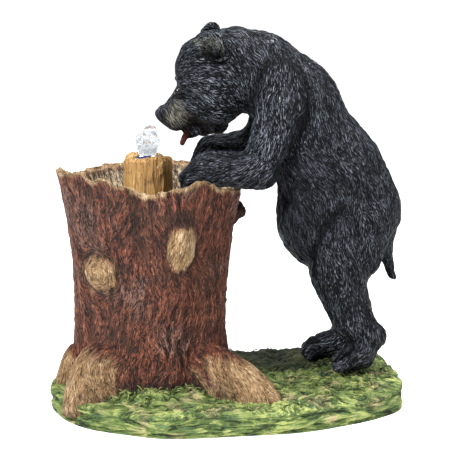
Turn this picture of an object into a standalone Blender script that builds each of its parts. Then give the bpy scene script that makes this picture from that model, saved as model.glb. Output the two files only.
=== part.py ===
"""Bear garden fountain: a black bear drinking at a hollow tree stump on a turf plinth.

Metres, +Z up. The origin is the middle of the plinth's flat underside. The bear faces -X, its left
side is towards -Y, and the stump stands in front of it.
"""
import bmesh
import bpy
import numpy as np
from mathutils import Matrix

# The turf plinth
BASE_LENGTH = 0.526
BASE_DEPTH = 0.352
TURF_EDGE = 0.032
TURF_ROUND = 0.012
TURF_LAP = 0.010
LAP_WIDTH = 0.030
MOUND_RISE = 0.012
MOUND_WIDTH = 0.078
MOUND_AHEAD = 0.020
RIPPLE = 0.0016
POCKET_FLOOR = 0.010

# The tree stump
STUMP_X = -0.116
STUMP_Y = 0.037
WAIST_RADIUS = 0.1135
WAIST_HEIGHT = 0.135
RIM_HEIGHT = 0.338
RIM_FLARE = 0.026
RIM_LEAN = 0.005
FOOT_FLARE = 0.014
STUMP_WALL = 0.011
BASIN_DEPTH = 0.135

# The small log over the pump, its ring light and the water above it
SPOUT_RADIUS = 0.035
SPOUT_TOP = 0.364
RING_RADIUS = 0.0185
RING_HOLE = 0.006
RING_HEIGHT = 0.010
PLUME_HEIGHT = 0.042
PLUME_RADIUS = 0.0175

# The bear
BEAR_HEIGHT = 0.517
BEAR_X = 0.185
BEAR_Y = 0.045
HEAD_ROLL = 20.0
HEAD_YAW = 6.0
ARM_SINK = 0.003
FOOT_SINK = 0.0025

# Clearance between touching pieces
GAP = 0.0004

# How finely the surfaces are faceted
TURF_SIDES = 44
STUMP_SIDES = 144
STUMP_TRIANGLES = 2700
BEAR_VOXEL = 0.0040
BEAR_TRIANGLES = 4900
PLUME_VOXEL = 0.0022
PLUME_TRIANGLES = 260


def clear_scene():
    for thing in list(bpy.data.objects):
        bpy.data.objects.remove(thing, do_unlink=True)


def new_collection(name):
    group = bpy.data.collections.new(name)
    bpy.context.scene.collection.children.link(group)
    return group


def finish(name, colour, roughness):
    """A plain material in the colour of the painted resin."""
    material = bpy.data.materials.new(name)
    material.use_nodes = True
    shader = material.node_tree.nodes["Principled BSDF"]
    shader.inputs["Base Color"].default_value = (*colour, 1.0)
    shader.inputs["Roughness"].default_value = roughness
    shader.inputs["Metallic"].default_value = 0.0
    return material


def add_object(name, bm, group, material):
    mesh = bpy.data.meshes.new(name)
    bmesh.ops.recalc_face_normals(bm, faces=bm.faces)
    bm.to_mesh(mesh)
    bm.free()
    mesh.materials.append(material)
    mesh.shade_smooth()
    thing = bpy.data.objects.new(name, mesh)
    group.objects.link(thing)
    return thing


def loft(rings):
    """A closed body through rings of points, each (sides, 3), with a flat or domed cap at each end."""
    bm = bmesh.new()
    rows = [[bm.verts.new(point) for point in ring] for ring in rings]
    sides = len(rows[0])
    for lower, upper in zip(rows, rows[1:]):
        for i in range(sides):
            j = (i + 1) % sides
            bm.faces.new((lower[i], lower[j], upper[j], upper[i]))
    for row in (rows[0], rows[-1]):
        middle = sum((vert.co for vert in row), row[0].co * 0) / sides
        centre = bm.verts.new(middle)
        for i in range(sides):
            bm.faces.new((row[i], row[(i + 1) % sides], centre))
    return bm


def bump(offset, width):
    """1 at the middle, falling smoothly to nothing at about twice the width."""
    return np.exp(-(offset / width) ** 2)


def turn_offset(angle, middle):
    """Angle from a middle, in degrees, the short way round."""
    return (angle - middle + 180.0) % 360.0 - 180.0


def polar(angle, radius, height, centre=(0.0, 0.0)):
    turn = np.radians(angle)
    height = np.broadcast_to(height, turn.shape)
    return np.stack([centre[0] + radius * np.cos(turn), centre[1] + radius * np.sin(turn), height], -1)


def smooth_loop(points, count):
    """A closed Catmull-Rom curve through the points, read at even steps."""
    points = np.array(points, float)
    step = np.arange(count) * len(points) / count
    i = step.astype(int)
    t = (step - i)[:, None]
    p0, p1, p2, p3 = (points[(i + k) % len(points)] for k in (-1, 0, 1, 2))
    return 0.5 * (2 * p1 + (p2 - p0) * t + (2 * p0 - 5 * p1 + 4 * p2 - p3) * t ** 2
                  + (3 * p1 - p0 - 3 * p2 + p3) * t ** 3)


# The plinth's outline, as shares of half its length and depth, from the left, round the front
TURF_OUTLINE = (
    (-1.00, -0.02), (-0.93, -0.42), (-0.78, -0.71), (-0.56, -0.88), (-0.30, -0.99), (0.07, -0.93),
    (0.40, -0.84), (0.66, -0.66), (0.86, -0.46), (0.99, -0.22), (1.00, 0.14), (0.98, 0.52),
    (0.93, 0.80), (0.76, 0.97), (0.45, 1.00), (0.10, 0.97), (-0.25, 1.00), (-0.58, 0.87), (-0.87, 0.54),
)

# The stump's rim: angle round the stump, height above or below RIM_HEIGHT. -90 is the front
RIM_WAVES = (
    (-180, 0.009), (-158, 0.012), (-143, 0.016), (-131, 0.018), (-124, 0.009), (-116, 0.014),
    (-104, 0.003), (-88, -0.008), (-70, 0.000), (-52, 0.008), (-35, -0.008), (-12, -0.018),
    (12, -0.010), (33, 0.000), (60, 0.001), (80, 0.003), (112, -0.001), (150, -0.006),
)

# Roots: angle, reach beyond the trunk, height up the trunk, half width in degrees
ROOTS = (
    (-38, 0.132, 0.057, 13),
    (-126, 0.068, 0.066, 18),
    (-158, 0.028, 0.050, 11),
    (66, 0.030, 0.048, 17),
    (146, 0.026, 0.052, 18),
)

# Knots: angle, height, half width along the bark, half height, how far it stands out
KNOTS = (
    (-124, 0.208, 0.026, 0.024, 0.015),
    (-65, 0.248, 0.022, 0.029, 0.014),
    (20, 0.273, 0.014, 0.018, 0.026),
    (104, 0.180, 0.022, 0.024, 0.012),
)


def turf_height(x, y):
    """The turf rises a little to the trunk's foot and under the bear's feet."""
    trunk = np.hypot(x - STUMP_X, y - STUMP_Y) - WAIST_RADIUS
    lap = TURF_LAP * bump(np.maximum(trunk, 0.0), LAP_WIDTH)
    stance = MOUND_RISE * bump(x - BEAR_X + MOUND_AHEAD, MOUND_WIDTH) * bump(y - BEAR_Y, MOUND_WIDTH)
    u, v = x / BASE_LENGTH, y / BASE_LENGTH
    ripple = RIPPLE * (np.sin(17.9 * u + 11.0 * v) + 0.75 * np.sin(14.2 * u - 22.6 * v + 1.2))
    return TURF_EDGE + lap + stance + ripple


def turf_base(group, material):
    outline = smooth_loop(TURF_OUTLINE, TURF_SIDES) * (BASE_LENGTH / 2, BASE_DEPTH / 2)
    inward = -outline / np.linalg.norm(outline, axis=1)[:, None]
    wander = np.sin(np.arange(TURF_SIDES) * 2.3) * RIPPLE
    rings = []
    for inset, share in ((0.25, 0.0), (0.0, 0.22), (0.0, 0.60), (0.10, 0.84), (0.42, 0.96), (1.3, 1.0)):
        edge = outline + inward * (inset * TURF_ROUND + wander[:, None] * (share > 0))
        rings.append(np.c_[edge, share * turf_height(*edge.T)])
    top_edge = rings[-1][:, :2]
    for share in (0.84, 0.66, 0.46, 0.24):
        edge = top_edge * share
        rings.append(np.c_[edge, turf_height(*edge.T)])
    rings[0][:, 2] = 0.0
    return add_object("turf_base", loft(rings), group, material)


def rim_height(angle):
    """The torn rim's height: a periodic curve through its horns and notches."""
    knots, lifts = np.array(RIM_WAVES, float).T
    knots = np.r_[knots - 360, knots, knots + 360]
    lifts = np.tile(lifts, 3)
    i = np.searchsorted(knots, angle, side="right") - 1
    t = (angle - knots[i]) / (knots[i + 1] - knots[i])
    return RIM_HEIGHT + lifts[i] + (lifts[i + 1] - lifts[i]) * t * t * (3 - 2 * t)


def trunk_radius(angle, height):
    """Waisted trunk: flares to the rim and to the foot, with soft folds and a valley at the notch."""
    turn = np.radians(angle)
    above = np.maximum(height - WAIST_HEIGHT, 0.0) / (RIM_HEIGHT - WAIST_HEIGHT)
    below = np.maximum(WAIST_HEIGHT - height, 0.0) / WAIST_HEIGHT
    folds = 0.0022 * np.cos(5 * turn + 0.6) + 0.0018 * np.cos(9 * turn - 1.1)
    valley = 0.007 * bump(turn_offset(angle, -100), 13) * np.minimum(above, 1.0)
    lean = RIM_LEAN * np.cos(turn) * (above - 0.5 * below - 0.25)
    return WAIST_RADIUS + RIM_FLARE * above ** 2 + FOOT_FLARE * below ** 2 + folds - valley + lean


def knot_relief(angle, height):
    relief = np.zeros_like(angle)
    for middle, level, wide, tall, proud in KNOTS:
        across = np.radians(turn_offset(angle, middle)) * (WAIST_RADIUS + 0.01) / wide
        up = (height - level) / tall
        relief = relief + proud * np.exp(-(across ** 2 + up ** 2) ** 1.25 * 0.8)
    return relief


def root_reach(angle):
    """Reach beyond the trunk, height up the trunk and how much of a root there is, at each angle."""
    reach = np.full_like(angle, 0.005)
    rise = np.full_like(angle, 0.040)
    amount = np.zeros_like(angle)
    for middle, length, height, width in ROOTS:
        share = np.exp(-np.abs(turn_offset(angle, middle) / width) ** 2.6)
        reach = np.maximum(reach, 0.004 + length * share ** 1.3)
        rise = np.maximum(rise, 0.040 + (height - 0.040 + 0.012) * share)
        amount = np.maximum(amount, share)
    return reach, rise, amount


def stump_outside(angle):
    """Rings up the outside: over the roots to the trunk, then up the trunk to the rim."""
    reach, rise, amount = root_reach(angle)
    drape = 0.6 * bump(turn_offset(angle, ROOTS[1][0]), ROOTS[1][3])
    top = TURF_EDGE + rise
    joint = trunk_radius(angle, top)
    rings = []
    for lean in (0.0, 0.0, 12.0, 22.0, 32.0, 42.0, 52.0, 61.0, 70.0, 79.0):
        turn = np.radians(lean)
        out = np.cos(turn) ** (1.8 - 0.65 * amount)
        up = np.sin(turn) ** 1.25
        level = (TURF_EDGE - POCKET_FLOOR - 0.004) * (1.0 - drape) * bool(rings)
        height = POCKET_FLOOR + level + (top - POCKET_FLOOR - level) * up
        rings.append((joint + reach * out, height))
    rim = rim_height(angle)
    for share in np.linspace(0.0, 1.0, 34):
        height = top + (rim - top) * share
        rings.append((trunk_radius(angle, height) + knot_relief(angle, height), height))
    return rings


def stump_inside(angle):
    """Rings down the inside of the basin, from the rim's lip to the floor."""
    rim = rim_height(angle)
    floor = RIM_HEIGHT - BASIN_DEPTH
    rings = []
    for share, wall in ((0.0, 0.75), (0.03, 0.95), (0.15, 1.0), (0.3, 1.05), (0.5, 1.08), (0.7, 1.12),
                        (0.88, 1.2), (0.96, 1.45), (1.0, 1.9)):
        height = rim + (floor - rim) * share
        rings.append((trunk_radius(angle, height) - wall * STUMP_WALL, height))
    rings.append((0.5 * rings[-1][0], np.full_like(angle, floor)))
    return rings


def tree_stump(group, material):
    angle = -180.0 + 360.0 * np.arange(STUMP_SIDES) / STUMP_SIDES
    centre = (STUMP_X, STUMP_Y)
    rings = stump_outside(angle) + stump_inside(angle)
    stump = add_object("tree_stump", loft([polar(angle, r, z, centre) for r, z in rings]), group, material)
    thin_out(stump, STUMP_TRIANGLES)
    return stump


def spout_stump(group, material):
    """A short log standing on the basin's floor, with a round seat for the ring light in its top."""
    sides = 26
    angle = 360.0 * np.arange(sides) / sides
    turn = np.radians(angle)
    bark = 0.0010 * np.cos(7 * turn) + 0.0008 * np.cos(11 * turn + 1.0)
    crest = 0.0022 * np.cos(2 * turn + 2.2) + 0.0012 * np.cos(5 * turn)
    foot = RIM_HEIGHT - BASIN_DEPTH + GAP
    seat = RING_RADIUS + GAP
    profile = (
        (SPOUT_RADIUS + 0.003, foot, 1.0, 0.0), (SPOUT_RADIUS, foot + 0.030, 1.0, 0.0),
        (SPOUT_RADIUS, SPOUT_TOP - 0.030, 1.0, 0.2), (SPOUT_RADIUS - 0.0004, SPOUT_TOP - 0.004, 1.0, 1.0),
        (SPOUT_RADIUS - 0.004, SPOUT_TOP, 0.7, 1.0), (seat + 0.003, SPOUT_TOP - 0.001, 0.0, 0.4),
        (seat, SPOUT_TOP - 0.003, 0.0, 0.0), (seat, SPOUT_TOP - RING_HEIGHT, 0.0, 0.0),
    )
    rings = [polar(angle, r + bark * rough, z + crest * wave, (STUMP_X, STUMP_Y))
             for r, z, rough, wave in profile]
    return add_object("spout_stump", loft(rings), group, material)


def light_ring(group, material):
    """A turned ring with a domed top and a centre hole that the water rises through."""
    foot = SPOUT_TOP - RING_HEIGHT + GAP
    middle = (RING_RADIUS + RING_HOLE) / 2
    profile = (
        (RING_HOLE, foot), (RING_HOLE, foot + 0.7 * RING_HEIGHT), (middle - 0.003, foot + 0.95 * RING_HEIGHT),
        (middle + 0.002, foot + RING_HEIGHT), (RING_RADIUS - 0.0015, foot + 0.8 * RING_HEIGHT),
        (RING_RADIUS, foot + 0.5 * RING_HEIGHT), (RING_RADIUS, foot),
    )
    mesh = bpy.data.meshes.new("light_ring")
    order = list(reversed(profile))
    count = len(order)
    edges = [(i, (i + 1) % count) for i in range(count)]
    mesh.from_pydata([(r, 0.0, z) for r, z in order], edges, [])
    mesh.materials.append(material)
    ring = bpy.data.objects.new("light_ring", mesh)
    ring.location = (STUMP_X, STUMP_Y, 0.0)
    group.objects.link(ring)
    screw = ring.modifiers.new("turn", "SCREW")
    screw.steps = 24
    screw.render_steps = 24
    screw.use_merge_vertices = True
    screw.merge_threshold = 0.00005
    screw.use_normal_calculate = True
    return ring


def share(forward, side, height):
    """A place on the bear, in hundredths of its height, forward of its stance, to its far side, up."""
    unit = BEAR_HEIGHT / 100
    return np.array((BEAR_X - forward * unit, BEAR_Y + side * unit, stance_height() + height * unit))


def stance_height():
    return float(turf_height(np.array(BEAR_X - MOUND_AHEAD), np.array(BEAR_Y))) - FOOT_SINK


def ball(forward, side, height, long, wide, tall, lean=0.0, turn=0.0):
    """An egg of clay; lean tips its top forward and turn swings its front to the near side, in degrees."""
    unit = BEAR_HEIGHT / 100
    pose = Matrix.Rotation(np.radians(turn), 3, "Z") @ Matrix.Rotation(np.radians(-lean), 3, "Y")
    return ("ball", share(forward, side, height), np.array((long, wide, tall)) * unit, np.array(pose))


def limb(start, end, thick, thin, wide=1.0):
    """A tapered roll of clay from one place to another; wide swells it sideways."""
    unit = BEAR_HEIGHT / 100
    return ("limb", np.array(start), np.array(end), thick * unit, thin * unit, wide)


def rim_rest(angle):
    """Where a forearm lies on the rim."""
    turn = np.radians(angle)
    height = float(rim_height(np.array([float(angle)]))[0])
    radius = float(trunk_radius(np.array([float(angle)]), np.array([height]))[0]) - STUMP_WALL / 2
    return np.array((STUMP_X + radius * np.cos(turn), STUMP_Y + radius * np.sin(turn), height - ARM_SINK))


def leg(side, reach):
    """Thigh, shank, heel, sole and toes; reach is how far the foot stands forward."""
    masses = [
        ball(1.6, 0.98 * side, 38.5, 11.4, 8.0, 13.0, -6),
        limb(share(4.4, side, 30), share(0.2 - 0.1 * reach, side, 16.5), 8.2, 6.1, 0.86),
        limb(share(-0.8 - 0.05 * reach, side, 15), share(-5.3 + 0.55 * reach, side, 11.0), 5.8, 5.0, 0.86),
        limb(share(-2.8 + 0.75 * reach, side, 5.1), share(1.3 + reach, side, 3.6), 4.4, 3.5, 1.2),
    ]
    for toe in range(5):
        spread = (toe - 2) * 2.15
        back = 0.28 * abs(toe - 2)
        knuckle = share(2.0 + reach - back, side + spread * 0.88, 3.9)
        tip = share(4.1 + reach - back, side + spread, 2.6)
        masses.append(limb(knuckle, tip, 2.3, 1.85))
    return masses


def arm(side, rest_angle, reach, dip):
    """Shoulder, upper arm and forearm, which lies on the rim at rest_angle, and the hanging paw."""
    # reach carries the paw further over the rim, and dip lets it hang lower
    unit = BEAR_HEIGHT / 100
    rest = rim_rest(rest_angle) + (0.0, 0.0, 4.9 * unit)
    out = np.sign(side)
    elbow = share(26.8, side, 0.0)
    elbow[2] = rest[2] + (0.9 * dip - 0.2) * unit
    wrist = rest + np.array((-4.4 - 0.5 * reach, 0.9 * out, 0.4 - 0.35 * dip)) * unit
    knuckles = rest + np.array((-8.0 - reach, 1.3 * out, -1.6 - 0.3 * reach - dip)) * unit
    masses = [
        ball(20.0, 0.72 * side, 79, 8.2, 5.4, 11.6, 14),
        limb(share(20.5, 0.80 * side, 77), elbow, 7.0, 5.2),
        limb(elbow, wrist, 5.3, 4.9),
        limb(wrist, knuckles, 4.7, 4.0, 1.1),
    ]
    for finger in range(5):
        spread = (finger - 2) * 1.75
        ahead = -10.9 - reach + 0.3 * abs(finger - 2)
        tip = rest + np.array((ahead, 1.4 * out + spread, -5.8 - 0.3 * reach - 0.5 * dip)) * unit
        masses.append(limb(knuckles + np.array((-0.6, 0.8 * spread, -0.8)) * unit, tip, 2.1, 1.25))
    return masses


def torso():
    return [
        ball(-0.4, 0, 45.8, 14.1, 14.2, 15.2, -5),
        ball(8.4, 0, 48.5, 13.1, 14.4, 18.0, 2),
        ball(9.5, 0, 41.5, 10.2, 12.5, 10.4, 0),
        ball(4.6, 0, 57.0, 14.2, 14.2, 14.6, 8),
        ball(10.9, 0, 66, 12.6, 13.8, 17.0, 18),
        ball(14.6, 0, 79.0, 10.0, 11.6, 10.0, 0),
        ball(19.6, 0, 79.4, 11.4, 12.4, 11.2, 30),
        limb(share(26, 0, 86.8), share(33.5, 0, 88.2), 10.8, 10.8, 1.02),
    ]


def tail():
    return [limb(share(-9.3, 0, 36), share(-12.2, 0, 26.8), 3.0, 1.3, 1.2)]


def head():
    """Skull, jowls, muzzle, jaw and lip, before the head is rolled and turned."""
    return [
        ball(40.2, 0, 87.0, 10.4, 10.8, 10.8, 0),
        ball(38.6, 0, 79.2, 9.2, 11.0, 7.8, 0),
        limb(share(45.2, 0, 77.0), share(51.5, 0, 72.8), 7.1, 3.6, 0.98),
        limb(share(39.5, 0, 72.0), share(45.2, 0, 67.6), 5.5, 2.3, 1.1),
        ball(49.4, 0, 71.3, 3.6, 4.0, 3.4, 0),
        ball(54.2, 0, 73.5, 1.8, 2.4, 1.5, 32),
    ]


def cheeks():
    """The cheeks and brows, on both sides of the head."""
    masses = [ball(38.4, 5.6 * out, 81.4, 6.0, 6.0, 6.4, 10) for out in (-1, 1)]
    return masses + [ball(47.2, -4.4, 84.9, 2.8, 2.8, 1.9), ball(46.4, 4.2, 84.0, 2.6, 2.6, 1.9)]


def tongue_and_eyes():
    tongue = limb(share(46.0, -0.6, 69.6), share(48.0, -1.2, 64.4), 1.3, 1.0, 1.3)
    return [tongue, ball(49.7, -5.1, 82.6, 1.2, 1.2, 1.2), ball(49.2, 4.4, 82.2, 0.95, 0.95, 0.95)]


def ears():
    """The near ear is laid up against the crown, and the far one stands out."""
    return [ball(39.8, -7.9, 97.3, 2.5, 5.0, 4.4, -12, 48), ball(40.2, 9.8, 93.4, 1.7, 4.4, 4.3, -12, -48)]


def hollows():
    """What is carved away: the cups of the ears and the open mouth."""
    cups = [ball(41.5, -9.7, 97.2, 1.9, 3.5, 3.0, -12, 48), ball(41.4, 11.2, 93.8, 1.5, 3.0, 2.9, -12, -48)]
    mouth = limb(share(50.2, 0, 66.2), share(44.4, 0, 70.6), 1.3, 0.4, 4.5)
    return cups + [mouth]


def mass_distance(mass, points):
    """Signed distance to one mass of clay, near enough for blending."""
    if mass[0] == "ball":
        centre, radii, pose = mass[1:]
        local = (points - centre) @ pose
        near = np.linalg.norm(local / radii, axis=1)
        return near * (near - 1.0) / np.maximum(np.linalg.norm(local / radii ** 2, axis=1), 1e-9)
    start, end, thick, thin, wide = mass[1:]
    squeeze = np.array((1.0, 1.0 / wide, 1.0))
    offset = (points - start) * squeeze
    along = (end - start) * squeeze
    step = np.clip(offset @ along / (along @ along), 0.0, 1.0)
    return np.linalg.norm(offset - step[:, None] * along, axis=1) - (thick + (thin - thick) * step)


def blend(first, second, reach):
    """Union of two distances, with the crease between them filled over about reach."""
    mix = np.clip(0.5 + 0.5 * (first - second) / reach, 0.0, 1.0)
    return first + (second - first) * mix - reach * mix * (1.0 - mix)


def head_pose():
    """The head rolls and turns towards the near side, about the neck."""
    pivot = Matrix.Translation(share(37.0, 0, 85.0))
    roll = Matrix.Rotation(np.radians(HEAD_ROLL), 4, "X")
    yaw = Matrix.Rotation(np.radians(HEAD_YAW), 4, "Z")
    return pivot @ yaw @ roll @ pivot.inverted()


def bear_masses():
    """Masses of the body, in blending groups, and of the head, each with the width of its joins."""
    near, far, stride = -6.9, 6.9, 8.2
    near_arm, far_arm = arm(-13.0, -33, 0.8, 0.0), arm(13.0, 33, -1.6, 2.6)
    body = [
        (torso(), 0.026), (leg(near, 0.0)[:4], 0.012), (leg(far, stride)[:4], 0.012),
        (near_arm[:4], 0.011), (far_arm[:4], 0.011), (tail(), 0.008),
        (leg(near, 0.0)[4:], 0.0035), (leg(far, stride)[4:], 0.0035),
        (near_arm[4:], 0.0035), (far_arm[4:], 0.0035),
    ]
    crown = [(head(), 0.012), (cheeks(), 0.008), (ears(), 0.004), (tongue_and_eyes(), 0.002)]
    return body, crown


def group_distance(groups, points, cuts=()):
    total = None
    for masses, reach in groups:
        for mass in masses:
            distance = mass_distance(mass, points)
            total = distance if total is None else blend(total, distance, reach)
    for cut in cuts:
        total = -blend(-total, mass_distance(cut, points), 0.002)
    return total


def bear_distance(points, body, crown, cuts, to_head):
    """Signed distance to the whole bear: body and rolled head, joined at the neck."""
    turned = points @ np.array(to_head.to_3x3()).T + np.array(to_head.translation)
    return blend(group_distance(body, points), group_distance(crown, turned, cuts), 0.012)


def settle(points, distance, steps):
    """Move points onto the surface where the distance is nothing."""
    reach = 0.0004
    for _ in range(steps):
        here = distance(points)
        slope = np.stack([distance(points + reach * axis) - distance(points - reach * axis)
                          for axis in np.eye(3)], 1) / (2 * reach)
        steep = np.maximum((slope ** 2).sum(1), 0.15)
        points = points - np.clip(here / steep, -0.006, 0.006)[:, None] * slope
    return points


def fur_locks(points, normals):
    """Broad locks of carved fur that run down and back over the body, a millimetre or so deep."""
    forward = (BEAR_X - points[:, 0]) / BEAR_HEIGHT
    up = (points[:, 2] - TURF_EDGE) / BEAR_HEIGHT
    across = points[:, 1] * 60 + forward * 34 + 2.2 * np.sin(up * 21 + forward * 9)
    along = up * 30 + 1.3 * np.sin(across * 0.7)
    ridge = np.sin(across * 2.1) * (0.6 + 0.4 * np.sin(along * 2.0))
    hand_or_foot = bump(up, 0.13) + bump(np.maximum(forward - 0.44, 0.0), 0.02) * (forward > 0.44)
    return points + normals * (0.0009 * ridge * np.clip(1.0 - hand_or_foot, 0.0, 1.0))[:, None]


def rough_clay(groups, pose):
    """Primitives for every mass in one mesh: spheres for the balls, sphere chains for the limbs."""
    bm = bmesh.new()
    for masses, _ in groups:
        for mass in masses:
            if mass[0] == "ball":
                centre, radii, turn = mass[1:]
                size = Matrix.Diagonal((*radii, 1.0))
                place = pose @ Matrix.Translation(centre) @ Matrix(turn).to_4x4() @ size
                bmesh.ops.create_icosphere(bm, subdivisions=3, radius=1.0, matrix=place)
                continue
            start, end, thick, thin, wide = mass[1:]
            count = 2 + int(np.linalg.norm(end - start) / min(thick, thin) * 2)
            for step in np.linspace(0.0, 1.0, count):
                radius = thick + (thin - thick) * step
                size = Matrix.Diagonal((radius, radius * wide, radius, 1.0))
                place = pose @ Matrix.Translation(start + (end - start) * step) @ size
                bmesh.ops.create_icosphere(bm, subdivisions=2, radius=1.0, matrix=place)
    return bm


def mesh_points(mesh, collection, name):
    flat = np.empty(len(collection) * 3)
    collection.foreach_get(name, flat)
    return flat.reshape(-1, 3)


def evaluated_mesh(thing):
    graph = bpy.context.evaluated_depsgraph_get()
    return bpy.data.meshes.new_from_object(thing.evaluated_get(graph))


def swap_mesh(thing, mesh):
    """Give an object the mesh that its modifiers make of it, and take the modifiers off."""
    old = thing.data
    thing.modifiers.clear()
    thing.data = mesh
    bpy.data.meshes.remove(old)


def mould(thing, distance, voxel, triangles, relief=None):
    """Fuse masses of clay by a voxel remesh, smooth them onto their blended surface, and thin it."""
    fuse = thing.modifiers.new("fuse", "REMESH")
    fuse.mode = "VOXEL"
    fuse.voxel_size = voxel
    swap_mesh(thing, evaluated_mesh(thing))
    mesh = thing.data
    points = settle(mesh_points(mesh, mesh.vertices, "co"), distance, 7)
    mesh.vertices.foreach_set("co", points.ravel())
    mesh.update()
    if relief:
        normals = mesh_points(mesh, mesh.vertex_normals, "vector")
        mesh.vertices.foreach_set("co", relief(points, normals).ravel())
        mesh.update()
    thin_out(thing, triangles)


def bear(group, material):
    """The whole figure, one casting: the body's masses and the rolled head's, moulded together."""
    body, crown = bear_masses()
    cuts = hollows()
    pose = head_pose()
    bm = rough_clay(body, Matrix.Identity(4))
    skull = bpy.data.meshes.new("skull")
    head_bm = rough_clay(crown, pose)
    head_bm.to_mesh(skull)
    head_bm.free()
    bm.from_mesh(skull)
    bpy.data.meshes.remove(skull)
    thing = add_object("bear", bm, group, material)

    def distance(points):
        return bear_distance(points, body, crown, cuts, pose.inverted())

    mould(thing, distance, BEAR_VOXEL, BEAR_TRIANGLES, fur_locks)
    return thing


def water_plume(group, material):
    """The low bubbling dome of water over the ring: a round foot that swells into two soft lobes."""
    foot = np.array((STUMP_X, STUMP_Y, SPOUT_TOP + RING_HEIGHT * 0.25))

    def lobe(x, y, z, radius):
        """A round of water, in shares of the plume's radius across and of its height up."""
        place = foot + (x * PLUME_RADIUS, y * PLUME_RADIUS, z * PLUME_HEIGHT)
        size = radius * PLUME_RADIUS
        return ("ball", place, np.array((size, size, size)), np.eye(3))

    lobes = [lobe(0.0, 0.0, 0.24, 0.90), lobe(-0.40, -0.20, 0.48, 0.64), lobe(0.22, 0.10, 0.72, 0.66),
             lobe(0.46, -0.15, 0.46, 0.58), lobe(-0.05, 0.40, 0.48, 0.60)]
    groups = [(lobes, 0.004)]
    thing = add_object("water_plume", rough_clay(groups, Matrix.Identity(4)), group, material)
    mould(thing, lambda points: group_distance(groups, points), PLUME_VOXEL, PLUME_TRIANGLES)
    return thing


def thin_out(thing, triangles):
    """Facet a fine surface into a set number of triangles, most of them where it bends most."""
    thin = thing.modifiers.new("thin", "DECIMATE")
    thin.ratio = triangles / sum(len(face.vertices) - 2 for face in thing.data.polygons)
    thin.use_collapse_triangulate = True
    swap_mesh(thing, evaluated_mesh(thing))
    thing.data.shade_smooth()


def cutter_from(thing, group):
    """A copy of a piece grown by the clearance, to cut its seat in a neighbour."""
    mesh = evaluated_mesh(thing)
    normals = mesh_points(mesh, mesh.vertex_normals, "vector")
    points = mesh_points(mesh, mesh.vertices, "co") + normals * GAP
    mesh.vertices.foreach_set("co", points.ravel())
    mesh.update()
    cutter = bpy.data.objects.new(thing.name + "_cutter", mesh)
    cutter.location = thing.location
    cutter.hide_render = True
    cutter.display_type = "WIRE"
    group.objects.link(cutter)
    return cutter


def cut(thing, cutter):
    boolean = thing.modifiers.new("seat", "BOOLEAN")
    boolean.operation = "DIFFERENCE"
    boolean.solver = "EXACT"
    boolean.object = cutter


def build():
    clear_scene()
    pieces = new_collection("bear_garden_fountain")
    cutters = new_collection("cutters")
    turf = turf_base(pieces, finish("turf_paint", (0.10, 0.17, 0.06), 0.8))
    stump = tree_stump(pieces, finish("bark_paint", (0.20, 0.09, 0.06), 0.8))
    spout = spout_stump(pieces, finish("log_paint", (0.42, 0.25, 0.08), 0.5))
    ring = light_ring(pieces, finish("ring_plastic", (0.02, 0.03, 0.12), 0.3))
    plume = water_plume(pieces, finish("water", (0.85, 0.90, 0.95), 0.05))
    figure = bear(pieces, finish("bear_paint", (0.02, 0.022, 0.028), 0.6))
    stump_cutter = cutter_from(stump, cutters)
    cut(turf, stump_cutter)
    cut(plume, cutter_from(ring, cutters))
    cut(plume, cutter_from(spout, cutters))
    cut(figure, stump_cutter)
    cut(figure, cutter_from(turf, cutters))


build()
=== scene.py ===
"""Bear garden fountain, dressed for its photograph: a cast resin bear that drinks from a tree stump.

The pieces come in the order that the fountain is put together: turf, stump, small log, ring light,
water and bear. The floor, the lights and the camera are last.
"""

import bmesh
import bpy
import numpy as np
from mathutils import Matrix, Vector


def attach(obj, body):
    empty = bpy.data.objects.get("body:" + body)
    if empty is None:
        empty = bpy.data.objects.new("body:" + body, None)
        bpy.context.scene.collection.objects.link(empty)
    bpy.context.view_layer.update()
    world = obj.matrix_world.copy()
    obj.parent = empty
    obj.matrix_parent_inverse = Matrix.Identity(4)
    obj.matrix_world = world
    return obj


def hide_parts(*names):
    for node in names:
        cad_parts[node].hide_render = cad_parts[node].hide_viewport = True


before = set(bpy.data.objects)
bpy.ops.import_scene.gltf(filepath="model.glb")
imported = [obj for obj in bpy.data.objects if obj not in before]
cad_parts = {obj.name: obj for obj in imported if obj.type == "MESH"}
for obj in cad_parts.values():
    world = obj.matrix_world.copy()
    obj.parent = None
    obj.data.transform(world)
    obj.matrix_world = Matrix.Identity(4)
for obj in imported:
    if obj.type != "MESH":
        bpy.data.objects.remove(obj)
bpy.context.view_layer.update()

# The turf plinth: one casting of resin, modelled as matted grass that lies every way on top and in
# layers round its side, painted dark green and dry-brushed with yellow-green, blue-green and straw.
# It stands on its flat underside, and everything else stands on it.
BASE_LENGTH = 0.526
BASE_DEPTH = 0.352
TURF_EDGE = 0.032
TURF_ROUND = 0.012
TURF_LAP = 0.010
LAP_WIDTH = 0.030
MOUND_RISE = 0.012
MOUND_WIDTH = 0.078
MOUND_AHEAD = 0.020
RIPPLE = 0.0016
STUMP_X = -0.116
STUMP_Y = 0.037
WAIST_RADIUS = 0.1135
FOOT_SPREAD = 0.010
BEAR_X = 0.185
BEAR_Y = 0.045
# the outline, as shares of half the length and depth, from the left, round the front
TURF_OUTLINE = (
    (-1.00, -0.02), (-0.93, -0.42), (-0.78, -0.71), (-0.56, -0.88), (-0.30, -0.99), (0.07, -0.93),
    (0.40, -0.84), (0.66, -0.66), (0.86, -0.46), (0.99, -0.22), (1.00, 0.14), (0.98, 0.52),
    (0.93, 0.80), (0.76, 0.97), (0.45, 1.00), (0.10, 0.97), (-0.25, 1.00), (-0.58, 0.87), (-0.87, 0.54),
)
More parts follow.
